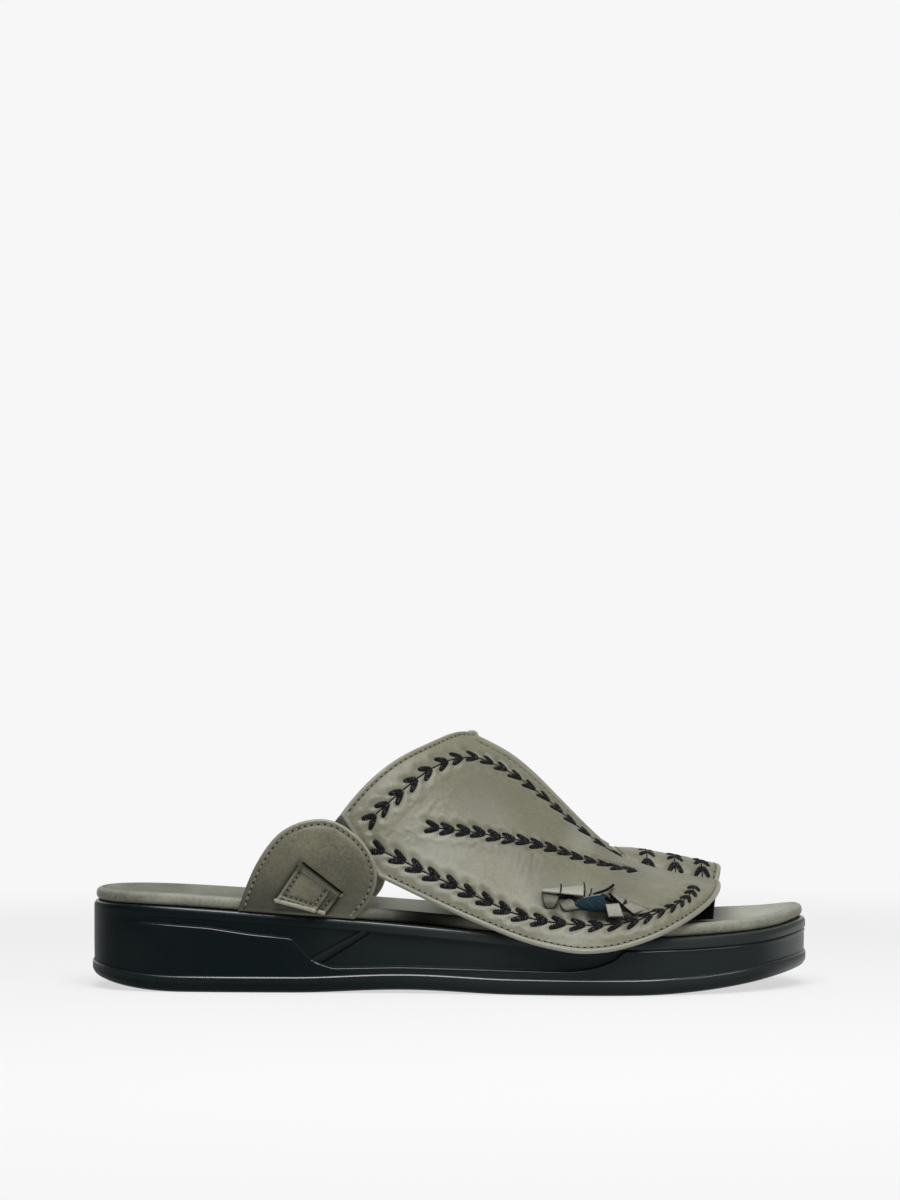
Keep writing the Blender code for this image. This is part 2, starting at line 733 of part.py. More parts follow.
def slit_cutter(name, side):
    """A slab through a side tab, a little longer and wider than the strap that threads it."""
    middle, run, square = slit_axes()
    middle = middle + square * (SLIT_LEAD - SLIT_RUN / 2)

    def at(point, lift):
        return form(point[0], girth_at(point[0], point[1], side), np.asarray(lift))

    face = WALL + TAB_GAP + TAB_WALL / 2
    centre = at(middle, face)
    along = at(middle + run, face) - at(middle - run, face)
    normal = at(middle, face + 1) - centre
    along, normal = Vector(along).normalized(), Vector(normal).normalized()
    across = normal.cross(along)
    slit_length = np.linalg.norm(np.subtract(*TAIL_AT_SLIT)) + 2 * SLIT_SLACK
    bm = bmesh.new()
    bmesh.ops.create_cube(bm, size=1.0)
    bmesh.ops.scale(bm, vec=(slit_length, SLIT_RUN + 2 * SLIT_SLACK, 8.0), verts=bm.verts)
    turn = Matrix((along, across, normal)).transposed().to_4x4()
    bmesh.ops.transform(bm, matrix=Matrix.Translation(Vector(centre)) @ turn, verts=bm.verts)
    cutter = finish_solid(name, bm, None)
    cutter.hide_render = True
    cutter.display_type = "WIRE"
    return cutter


def make_tab(name, side):
    """A side tab that rises from the deck, with the slit for its strap tail."""
    grid = tab_grid(side)
    bm = bmesh.new()
    inner = add_points(bm, lifted(grid, WALL + TAB_GAP))
    outer = add_points(bm, lifted(grid, WALL + TAB_GAP + TAB_WALL))
    wall_between(bm, inner, outer)
    tab = finish_solid(name, bm, material("tab_leather", OLIVE_GREY, 0.58))
    slit = tab.modifiers.new("slit", "BOOLEAN")
    slit.operation = "DIFFERENCE"
    slit.object = slit_cutter(name + "_slit", side)
    return tab


def ring_point(x, share, lift):
    """Point of the toe ring: share 0 is the foot of the outer leg, 1 of the inner leg."""
    angle = math.pi * (1 - share)
    outer_y = RING_OUTER_LEG_Y + PLAN_SHIFT
    inner_y = inner_plan(turn_of(x)) - CLEARANCE
    middle, half = (outer_y + inner_y) / 2, (inner_y - outer_y) / 2
    on_outer = share < 0.5
    foot = np.where(on_outer, insole_top(x, outer_y) + RING_LEG_LIFT, deck(x) + CLEARANCE)
    crown = column(RING, 1)(x)
    power = 2 / RING_SQUARENESS
    across = np.abs(np.cos(angle)) ** power * np.where(on_outer, -1, 1)
    up = np.abs(np.sin(angle)) ** power
    y = middle + (half - lift) * across
    return np.stack([x, y, foot + (crown - lift - foot) * up], axis=-1)


def make_toe_ring():
    """The band that bends over the big toe from the insole to the deck's inner edge."""
    back, front = column(RING_BACK_EDGE, 1), column(RING_FRONT_EDGE, 1)
    step = np.linspace(0, 1, RING_ARC_STEPS + 1)
    # points lie closer together where the ring turns over the toe
    share = (step - RING_CROWDING * np.sin(4 * math.pi * step) / (4 * math.pi))[:, None]
    x = back(share) + (front(share) - back(share)) * np.linspace(0, 1, RING_WIDTH_STEPS + 1)
    bm = bmesh.new()
    outer = add_points(bm, ring_point(x, share + 0 * x, 0.0))
    inner = add_points(bm, ring_point(x, share + 0 * x, RING_WALL))
    wall_between(bm, inner, outer)
    return finish_solid("toe_ring", bm, material("ring_leather", OLIVE_GREY, 0.55))


def knot_point(along, up, lift):
    """A point by its place from the knot in the side view and its height above the panel's face."""
    x, z = KNOT_AT[0] + along, KNOT_AT[1] + up
    return Vector(form(x, girth_at(x, z, -1), np.asarray(WALL + lift)))


def bent_strip(name, width, stops):
    """A flat strip of leather along its stops, lying over the panel."""
    run = np.array(stops, float)
    smooth = [smooth_through(np.linspace(0, 1, len(run)), run[:, i]) for i in range(3)]
    bm = bmesh.new()
    rows = []
    for s in np.linspace(0, 1, 8):
        along, up, lift = (float(read(s)) for read in smooth)
        ahead = knot_point(*(float(read(min(1, s + 0.05))) for read in smooth))
        behind = knot_point(*(float(read(max(0, s - 0.05))) for read in smooth))
        middle = knot_point(along, up, lift)
        face = (knot_point(along, up, lift + 1) - middle).normalized()
        across = face.cross(ahead - behind).normalized()
        face = (ahead - behind).cross(across).normalized()
        half, thick = across * width / 2, face * STRIP_WALL / 2
        low, high = middle - thick, middle + thick
        rows.append([low - half, low + half, high + half, high - half])
    verts = add_points(bm, np.array(rows))
    add_grid(bm, verts, closed=True)
    for row in (verts[0], verts[-1]):
        bm.faces.new(row)
    return finish_solid(name, bm, None)


def roll_rings(start, end, radius_at, sides=12, stations=7):
    """Rings of points along a roll between two places over the panel, a little flattened towards it."""
    start, end = np.array(start), np.array(end)
    rings = []
    for s in np.linspace(0, 1, stations):
        place = start + s * (end - start)
        centre = knot_point(*place)
        axis = knot_point(*(place + 0.05 * (end - start))) - centre
        face = (knot_point(*(place + (0, 0, 1))) - centre).normalized()
        across = face.cross(axis).normalized()
        radius = float(radius_at(s))
        turns = np.linspace(0, 2 * math.pi, sides, endpoint=False)
        face, across = face * ROLL_FLATNESS, across * radius
        rings.append([centre + math.cos(a) * across + radius * math.sin(a) * face for a in turns])
    return np.array(rings)


def knot_axis(overhang):
    """The ends of the knot's axis, which leans a little towards the toe."""
    reach = BINDING_LENGTH / 2 + overhang
    return (-reach, KNOT_LEAN * reach, KNOT_LIFT), (reach, -KNOT_LEAN * reach, KNOT_LIFT)


def solid_roll(name, start, end, radius, finish=None):
    """A closed roll of one radius between two places over the panel."""
    bm = bmesh.new()
    rings = add_points(bm, roll_rings(start, end, lambda s: radius))
    add_grid(bm, rings, closed=True)
    for ring in (rings[0], rings[-1]):
        bm.faces.new(ring)
    return finish_solid(name, bm, finish)


def make_knot_strips():
    """The knot's leather: a core in the binding with the strips and the folded roll fused to it."""
    leather = material("strip_leather", OLIVE_GREY, 0.5)
    core = solid_roll("knot_strips", *knot_axis(KNOT_CORE_OVERHANG), KNOT_CORE_RADIUS, leather)
    joined = [bent_strip("strip_" + name, width, stops) for name, (width, stops) in STRIPS.items()]
    joined.insert(1, solid_roll("strip_roll", *STRIP_ROLL))
    for piece in joined:
        piece.hide_render = True
        piece.display_type = "WIRE"
        join = core.modifiers.new(piece.name, "BOOLEAN")
        join.operation = "UNION"
        join.object = piece
    return core


def make_knot_binding():
    """The wound thread round the knot's core, a sleeve open at both ends."""
    inside = KNOT_CORE_RADIUS + CLEARANCE
    bm = bmesh.new()
    outer = add_points(bm, roll_rings(*knot_axis(0), lambda s: inside + BINDING_WALL * (0.7 + 0.6 * s)))
    inner = add_points(bm, roll_rings(*knot_axis(0), lambda s: inside))
    add_grid(bm, outer, closed=True)
    add_grid(bm, inner, closed=True)
    for end in (0, -1):
        add_grid(bm, [inner[end], outer[end]], closed=True)
    return finish_solid("knot_binding", bm, material("binding_thread", BINDING_BLUE, 0.8))


def main():
    for obj in list(bpy.data.objects):
        bpy.data.objects.remove(obj, do_unlink=True)
    make_outsole()
    make_insole()
    make_upper()
    make_tab("tab_outer", -1)
    make_tab("tab_inner", 1)
    make_toe_ring()
    make_knot_strips()
    make_knot_binding()


main()
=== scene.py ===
"""Looks of a right-foot leather sandal with a leaf-shaped instep panel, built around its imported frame.

Tables and named sizes are in millimetres: +X points to the toe, +Y to the inner side of the foot and +Z up.
Meshes are worked out in millimetres and become objects in metres.
"""

import logging
import math
from collections.abc import Callable, Sequence
from dataclasses import dataclass, field
from enum import Enum

import bmesh
import bpy
import numpy as np
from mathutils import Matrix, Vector
from mathutils.kdtree import KDTree


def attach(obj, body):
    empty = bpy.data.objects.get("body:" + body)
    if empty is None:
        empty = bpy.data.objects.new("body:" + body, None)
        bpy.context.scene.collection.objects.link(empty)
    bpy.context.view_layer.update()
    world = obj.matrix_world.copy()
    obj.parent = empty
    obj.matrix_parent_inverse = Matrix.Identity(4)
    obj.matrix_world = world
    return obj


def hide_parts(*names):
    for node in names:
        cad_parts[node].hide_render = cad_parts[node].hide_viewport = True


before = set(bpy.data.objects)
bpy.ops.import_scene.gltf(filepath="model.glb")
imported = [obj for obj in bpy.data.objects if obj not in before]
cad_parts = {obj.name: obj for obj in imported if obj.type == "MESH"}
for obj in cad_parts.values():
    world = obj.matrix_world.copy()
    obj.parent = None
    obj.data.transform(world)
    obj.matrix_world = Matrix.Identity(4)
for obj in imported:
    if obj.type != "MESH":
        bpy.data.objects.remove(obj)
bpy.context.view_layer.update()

LOG = logging.getLogger("sandal")
MM = 0.001
BODY = "root"
OUTER, INNER = -1, 1

Array = np.ndarray
Reader = Callable[[Array], Array]
Patch = Callable[[Array, Array], Array]
Surface = Callable[[Array, Array, Array], Array]
Seat = Callable[[Array], tuple[Array, Array]]
Pair = tuple[float, float]
Pairs = Sequence[Pair]
Triple = tuple[float, float, float]
Colour = Stop = Triple
Spots = Sequence[tuple[float, float, float, float]]
Material = bpy.types.Material
Piece = bpy.types.Object
Tree = bpy.types.NodeTree
Node = bpy.types.Node
Socket = bpy.types.NodeSocket
Given = Socket | float | Sequence[float]

# The camera, and where the photo shows the middle of its view
CAMERA_AT = (0.0, -1600.0, 154.0)
LENS, SENSOR = 120.0, 36.0
PHOTO_MIDDLE = (449.0, 600.0)
PHOTO_HEIGHT = 1200.0

# Corners of the panel's back edge in the side view, which the strap tails carry on from
TAIL_TOP = {OUTER: (-43.4, 70.4), INNER: (-43.4, 63.8)}
TAIL_BOTTOM = (-27.7, 45.7)


class Slot(Enum):
    """Material slots of the record."""

    OUTSOLE = "outsole"
    INSOLE = "insole_leather"
    UPPER = "upper_leather"
    TAB = "tab_leather"
    STRIP = "strip_leather"
    BINDING = "binding_thread"


# Numbers and curves


def smooth_through(points: Sequence[float], values: Sequence[float]) -> Reader:
    """A twice-smooth curve through the values.

    Args:
        points: rising places of the values.
        values: values at those places.

    Returns:
        A function that reads the curve.
    """
    at, value = np.asarray(points, float), np.asarray(values, float)
    count, gap = len(at), np.diff(at)
    system, right = np.eye(count), np.zeros(count)
    for i in range(1, count - 1):
        system[i, i - 1 : i + 2] = gap[i - 1], 2 * (gap[i - 1] + gap[i]), gap[i]
        right[i] = 6 * ((value[i + 1] - value[i]) / gap[i] - (value[i] - value[i - 1]) / gap[i - 1])
    bend = np.linalg.solve(system, right)

    def read(x: Array) -> Array:
        """The curve's value at x."""
        x = np.clip(x, at[0], at[-1])
        i = np.clip(np.searchsorted(at, x) - 1, 0, count - 2)
        past, left = x - at[i], at[i + 1] - x
        cubic = (bend[i] * left**3 + bend[i + 1] * past**3) / (6 * gap[i])
        lower = (value[i] / gap[i] - bend[i] * gap[i] / 6) * left
        upper = (value[i + 1] / gap[i] - bend[i + 1] * gap[i] / 6) * past
        return cubic + lower + upper

    return read


def column(table: Sequence[Sequence[float]], index: int) -> Reader:
    """A smooth curve through one column of a table, read by its first column."""
    return smooth_through([row[0] for row in table], [row[index] for row in table])


def curve_through(places: Sequence[float], rows: Array) -> Reader:
    """A smooth curve through rows of several values, read by their places."""
    reads = [smooth_through(places, values) for values in np.asarray(rows, float).T]
    return lambda share: np.stack([read(share) for read in reads], axis=-1)


def straight_through(table: Pairs, blur: float = 0.0) -> Reader:
    """Straight lines through a table's two columns.

    Args:
        table: rows of place and value.
        blur: half-width over which the corners are rounded off.

    Returns:
        A function that reads the lines.
    """
    at, value = zip(*table)
    shifts = np.linspace(-blur, blur, 9) if blur else np.zeros(1)
    return lambda x: np.mean([np.interp(np.asarray(x) + shift, at, value) for shift in shifts], axis=0)


def wave(x: Array, centre: float, reach: float) -> Array:
    """A smooth hump that is 1 at the centre and 0 beyond its reach."""
    return soft_step(1 - np.abs(x - centre) / reach)


def soft_step(share: Array) -> Array:
    """A smooth step from 0 to 1 as the share goes from 0 to 1."""
    near = np.clip(share, 0, 1)
    return near * near * (3 - 2 * near)


def bell(distance: Array, width: float) -> Array:
    """A bell-shaped bump that is 1 at no distance."""
    return np.exp(-((distance / width) ** 2))


def rolling(points: Array, length: float, seed: int) -> Array:
    """Gentle random waves over points in space, about one high, with this usual length."""
    draw = np.random.default_rng(seed)
    total = np.zeros(points.shape[:-1])
    waves = 7
    for _ in range(waves):
        direction = draw.normal(size=3)
        direction *= draw.uniform(0.6, 1.5) * 2 * math.pi / length / np.linalg.norm(direction)
        total += np.sin(points @ direction + draw.uniform(0, 2 * math.pi))
    return total / math.sqrt(waves)


def unit(vectors: Array) -> Array:
    """The vectors scaled to length 1."""
    return vectors / np.maximum(np.linalg.norm(vectors, axis=-1, keepdims=True), 1e-12)


def full_turn(sides: int) -> Array:
    """Angles of the sides of a round."""
    return np.linspace(0, 2 * math.pi, sides, endpoint=False)


def run_length(points: Array) -> Array:
    """Distance along a line of points, from 0 at its start."""
    return np.concatenate([[0], np.cumsum(np.linalg.norm(np.diff(points, axis=0), axis=1))])


def spaced(points: Array, places: Array) -> Array:
    """Points of a line at distances along it."""
    length = run_length(points)
    return np.stack([np.interp(places, length, points[:, i]) for i in range(points.shape[1])], axis=-1)


def finder(points: Array) -> KDTree:
    """A search tree over points."""
    tree = KDTree(len(points))
    for i, point in enumerate(points):
        tree.insert(point, i)
    tree.balance()
    return tree


def nearest(path: Array, points: Array, step: float = 0.2) -> Array:
    """Distance of each point to a line.

    Args:
        path: the line's points.
        points: points of any grid shape.
        step: spacing at which the line is sampled.

    Returns:
        Distances in the shape of the grid.
    """
    tree = finder(spaced(path, np.arange(0, run_length(path)[-1] + step, step)))
    flat = points.reshape(-1, 3)
    return np.array([tree.find(point)[2] for point in flat]).reshape(points.shape[:-1])


def to_segment(points: Array, start: Array, end: Array) -> Array:
    """Distance of points to a straight segment."""
    along = end - start
    share = np.clip((points - start) @ along / (along @ along), 0, 1)
    return np.linalg.norm(points - start - share[..., None] * along, axis=-1)


# Forms shared with the solids


@dataclass
class SoleForm:
    """Plan, deck, underside and side lines of the moulded sole."""

    length: float = 284.8
    plan_shift: float = 3.1
    heel_spring: Triple = (4.6, 38.0, 2.2)
    toe_spring: Triple = (7.5, 71.0, 1.9)
    arch: Triple = (1.3, -62.0, 26.0)
    lip_height: float = 4.3
    lip_proud_most: float = 0.5
    lip_fade: Pair = (-65.0, 35.0)
    clearance: float = 0.35
    insole_inset: float = 2.4
    insole_reach: float = 1.5
    insole_height: float = 5.0
    insole_rim: float = 2.4
    insole_dish: float = 3.0
    insole_dish_power: float = 2.6
    plan: Sequence[Triple] = (
        # x, outer edge y, inner edge y
        (-142.4, 0.0, 0.0),
        (-135.0, -21.0, 20.0),
        (-120.0, -30.0, 28.5),
        (-100.0, -33.6, 31.2),
        (-70.0, -35.6, 32.2),
        (-35.0, -36.6, 32.6),
        (0.0, -40.2, 36.2),
        (30.0, -46.0, 42.6),
        (55.0, -49.4, 46.8),
        (80.0, -47.8, 46.8),
        (100.0, -42.0, 44.2),
        (120.0, -30.6, 37.4),
        (135.0, -13.4, 25.4),
        (142.4, 7.0, 7.0),
    )
    deck_heights: Pairs = (
        # x, height of the deck that the insole lies on
        (-143.0, 34.6), (-115.0, 33.8), (-70.0, 31.0), (-31.0, 28.2), (0.0, 25.6), (30.0, 23.4),
        (60.0, 22.4), (97.0, 22.7), (116.0, 23.6), (132.0, 25.2), (143.0, 27.4),
    )
    deck: Reader = field(init=False)
    outer_plan: Reader = field(init=False)
    inner_plan: Reader = field(init=False)

    def __post_init__(self) -> None:
        """Reads the tables into curves."""
        turns = [math.acos(-row[0] / self.half) for row in self.plan]
        self.deck = column(self.deck_heights, 1)
        self.outer_plan = smooth_through(turns, [row[1] + self.plan_shift for row in self.plan])
        self.inner_plan = smooth_through(turns, [row[2] + self.plan_shift for row in self.plan])

    @property
    def half(self) -> float:
        """Half the sole's length."""
        return self.length / 2

    def turn_of(self, x: Array) -> Array:
        """The outline's own parameter at a length along the sole: 0 at the heel, pi at the toe."""
        return np.arccos(np.clip(-np.asarray(x, float) / self.half, -1, 1))

    def outline(self, turn: Array) -> Array:
        """Point of the plan: 0 to pi runs up the outer side, pi to 2 pi back down the inner side."""
        turn = np.mod(turn, 2 * math.pi)
        folded = np.where(turn <= math.pi, turn, 2 * math.pi - turn)
        y = np.where(turn <= math.pi, self.outer_plan(folded), self.inner_plan(folded))
        return np.stack([-self.half * np.cos(folded), y], axis=-1)

    def loop(self, turns: Array) -> Array:
        """Turns all the way round the outline, from those of its outer side."""
        return np.concatenate([turns, 2 * math.pi - turns[-2:0:-1]])

    def outline_moved(self, turn: Array, outward: Array) -> Array:
        """The outline's points moved outward, square to it."""
        small = 0.02
        along = unit(self.outline(turn + small) - self.outline(turn - small))
        square = np.stack([along[..., 1], -along[..., 0]], axis=-1)
        return self.outline(turn) + np.asarray(outward)[..., None] * square

    def ground(self, x: Array) -> Array:
        """Height of the underside, with heel and toe spring and a slight arch."""
        rise, length, power = self.heel_spring
        heel = rise * np.clip((-self.half + length - x) / length, 0, 1) ** power
        rise, length, power = self.toe_spring
        toe = rise * np.clip((x - self.half + length) / length, 0, 1) ** power
        rise, back, front = self.arch
        return heel + toe + rise * np.sin(math.pi * np.clip((x - back) / (front - back), 0, 1)) ** 2

    def lip_underside(self, x: Array) -> Array:
        """Height of the lower edge of the top lip."""
        return self.deck(x) - self.lip_height

    def lip_proud(self, x: Array) -> Array:
        """How far the lip stands out; it fades away towards the heel."""
        back, length = self.lip_fade
        return self.lip_proud_most * np.clip((x - back) / length, 0, 1)

    def insole_edge(self, x: Array) -> Array:
        """How far the insole's side lies in from the sole's outline: less round heel and toe."""
        return self.insole_inset - self.insole_reach * soft_step((np.abs(x) - 105) / 30)

    def dish(self, share: Array) -> Array:
        """How far the insole's middle lies under its rim at a share of the width."""
        return self.insole_dish * (1 - np.abs(2 * share - 1) ** self.insole_dish_power)

    def insole_top(self, x: Array, y: Array) -> Array:
        """Height of the insole's dished face."""
        reach = self.insole_inset + self.insole_rim
        low, high = self.outer_plan(self.turn_of(x)) + reach, self.inner_plan(self.turn_of(x)) - reach
        return self.deck(x) + self.insole_height - self.dish(np.clip((y - low) / (high - low), 0, 1))


@dataclass
class FootForm:
    """The last that panel and tabs are shaped on."""

    sole: SoleForm
    wall: float = 2.6
    base_drop: float = 9.0
    girth_length: float = 90.0
    sections: Sequence[tuple[float, ...]] = (
        # x, outer flank y, inner flank y, crest y, crest height, roundness (1 an ellipse, 2 straight flanks)
        (-90.0, -29.7, 26.9, 2.0, 152.0, 1.0),
        (-60.0, -31.2, 27.6, 4.5, 136.5, 1.0),
        (-40.0, -31.9, 28.2, 6.0, 125.0, 1.03),
        (-20.0, -35.8, 31.0, 7.0, 113.6, 1.16),
        (8.0, -43.4, 38.6, 8.0, 98.0, 1.42),
        (24.0, -48.3, 43.9, 8.4, 89.4, 1.5),
        (38.0, -51.7, 48.0, 8.6, 76.9, 1.5),
        (50.0, -54.0, 49.8, 8.7, 64.6, 1.42),
        (60.0, -53.5, 50.0, 8.6, 54.9, 1.2),
        (68.0, -52.0, 49.6, 8.2, 49.0, 1.0),
        (80.0, -50.3, 48.6, 7.5, 44.2, 0.86),
        (95.0, -46.0, 46.6, 6.9, 40.8, 0.79),
        (107.0, -40.4, 43.6, 6.2, 38.6, 0.77),
        (120.0, -32.0, 38.0, 5.6, 36.6, 0.77),
    )
    columns: list[Reader] = field(init=False)

    def __post_init__(self) -> None:
        """Reads the sections into curves."""
        self.columns = [column(self.sections, i) for i in range(1, 6)]

    def sizes(self, x: Array) -> tuple[Array, ...]:
        """Outer flank, inner flank and crest in y, crest and base height, and roundness at x."""
        outer, inner, crest_y, crest_z, roundness = (read(x) for read in self.columns)
        shift, base_z = self.sole.plan_shift, self.sole.deck(x) - self.base_drop
        return outer + shift, inner + shift, crest_y + shift, crest_z, base_z, roundness

    def skin(self, x: Array, girth: Array) -> Array:
        """Point of the last: girth -1 is the outer feather edge, 0 the crest and 1 the inner edge."""
        outer, inner, crest_y, crest_z, base_z, roundness = self.sizes(x)
        angle = np.abs(girth) * math.pi / 2
        side = np.where(girth < 0, outer, inner)
        y = crest_y + (side - crest_y) * np.sin(angle) ** roundness
        z = base_z + (crest_z - base_z) * np.cos(angle) ** roundness
        return np.stack([x + 0 * y, y, z], axis=-1)

    def surface(self, x: Array, girth: Array, lift: Array) -> Array:
        """Point at a height above the last, square to it."""
        x, girth, lift = np.broadcast_arrays(np.asarray(x, float), np.asarray(girth, float), lift)
        ahead, aside = 0.2, 0.004
        along = self.skin(x + ahead, girth) - self.skin(x - ahead, girth)
        around = self.skin(x, girth + aside) - self.skin(x, girth - aside)
        return self.skin(x, girth) + unit(np.cross(along, around)) * lift[..., None]

    def girth_at(self, x: Array, z: Array, side: int) -> Array:
        """The girth at which the wall's outer face has this height."""
        *_, crest_z, base_z, roundness = self.sizes(x)
        share = np.clip((z - base_z) / (crest_z + 1.15 * self.wall - base_z), 0, 1)
        return side * np.arccos(share ** (1 / roundness)) * 2 / math.pi

    def on_side(self, rows: Pairs, side: int) -> list[Pair]:
        """Side-view points of x and z as pairs of x and girth."""
        return [(x, float(self.girth_at(x, z, side))) for x, z in rows]

    def face_at(self, x: Array, z: Array, side: int, lift: Array | float) -> Array:
        """Pairs of x and girth whose points show at given places of the side view.

        Args:
            x: places along the sole.
            z: heights of the places.
            side: outer or inner side.
            lift: height of the points above the last.

        Returns:
            The pairs, in the shape of the places.
        """
        want_x, want_z = np.asarray(x, float), np.asarray(z, float)
        near_x, near_z = want_x, want_z
        for _ in range(12):
            point = self.surface(near_x, self.girth_at(near_x, near_z, side), lift)
            near_x = near_x + 0.8 * (want_x - point[..., 0])
            near_z = near_z + 0.8 * (want_z - point[..., 2])
        return np.stack([near_x, self.girth_at(near_x, near_z, side)], axis=-1)

    def seen_at(self, x: Array, z: Array, side: int, lift: Array | float) -> Array:
        """Points at this lift that show at x and z in the side view."""
        at = self.face_at(x, z, side, lift)
        return self.surface(at[..., 0], at[..., 1], lift)

    def run_through(self, points: Pairs) -> Reader:
        """A smooth open curve through pairs of x and girth, read by its share of length."""
        points = np.asarray(points, float)
        length = run_length(points * (1.0, self.girth_length))
        return curve_through(length / length[-1], points)


def coons(back: Reader, front: Reader, start: Reader, end: Reader) -> Patch:
    """A patch between four edges.

    Args:
        back: edge at the second share 0, read by the first share.
        front: edge at the second share 1.
        start: edge at the first share 0, read by the second share.
        end: edge at the first share 1.

    Returns:
        A function of the two shares.
    """

    def read(u: Array, v: Array) -> Array:
        """The patch's value at two shares."""
        u, v = np.broadcast_arrays(u, v)
        a, b = u[..., None], v[..., None]
        corners = (1 - a) * ((1 - b) * start(0.0) + b * start(1.0)) + a * ((1 - b) * end(0.0) + b * end(1.0))
        return (1 - b) * back(u) + b * front(u) + (1 - a) * start(v) + a * end(v) - corners

    return read


RIM_STEPS = (0.0, 0.08, 0.25, 0.5, 0.85, 1.3)


def rim_shares(length: Array, count: int) -> Array:
    """Shares of lines of these lengths, even inside and crowded by the rim's steps at both ends."""
    length = np.asarray(length, float)[None, :]
    rim = np.array(RIM_STEPS)[:, None]
    even = np.linspace(0, 1, count + 1)[:, None]
    inside = rim[-1] + even * (length - 2 * rim[-1])
    return np.concatenate([rim[:-1] + 0 * length, inside, length - rim[:-1][::-1]]) / length


def rimmed_grid(surface: Surface, patch: Patch, first: int, second: int) -> Array:
    """Grid of a patch's coordinates with its rows crowded along the four edges.

    Args:
        surface: turns coordinates and a lift into points.
        patch: the patch, read by two shares.
        first: even steps along the first share.
        second: even steps along the second share.

    Returns:
        Coordinates as an array of first rows, second columns and two values.
    """
    probe = np.linspace(0, 1, 41)
    coordinates = patch(probe[:, None], probe[None, :])
    points = surface(coordinates[..., 0], coordinates[..., 1], 0.0)
    first_length = np.linalg.norm(np.diff(points, axis=0), axis=-1).sum(0)
    second_length = np.linalg.norm(np.diff(points, axis=1), axis=-1).sum(1)
    rim = 2 * (len(RIM_STEPS) - 1)
    rows, columns = np.linspace(0, 1, first + rim + 1), np.linspace(0, 1, second + rim + 1)
    u = rim_shares(np.interp(columns, probe, first_length), first)
    v = rim_shares(np.interp(rows, probe, second_length), second).T
    return patch(u, v)


@dataclass
class Face:
    """A curved face: the points of a surface, which takes two coordinates and a lift, at one lift."""

    surface: Surface
    lift: float
    small_steps: Pair = (0.05, 0.0005)

    def at(self, coordinates: Array, more: float = 0.0) -> Array:
        """Points at pairs of coordinates, lifted by a little more if asked."""
        return self.surface(coordinates[..., 0], coordinates[..., 1], self.lift + more)

    def slopes(self, at: Array) -> list[Array]:
        """How the points at pairs of coordinates move with each coordinate, for a step of 1."""
        steps = [small * axis for small, axis in zip(self.small_steps, np.eye(2))]
        return [(self.at(at + step) - self.at(at - step)) / (2 * step.sum()) for step in steps]

    def inset(self, path: Array, distance: float) -> Array:
        """A line of coordinates moved sideways over the face.

        Args:
            path: coordinates along the line.
            distance: how far it moves, to the left of its run.

        Returns:
            The moved coordinates.
        """
        first, second = self.slopes(path)
        e, f, g = ((a * b).sum(-1) for a, b in ((first, first), (first, second), (second, second)))
        run = np.gradient(path, axis=0)
        square = np.stack([-(f * run[:, 0] + g * run[:, 1]), e * run[:, 0] + f * run[:, 1]], axis=-1)
        size = e * square[:, 0] ** 2 + 2 * f * square[:, 0] * square[:, 1] + g * square[:, 1] ** 2
        return path + distance * square / np.sqrt(np.maximum(size, 1e-12))[:, None]


# Meshes


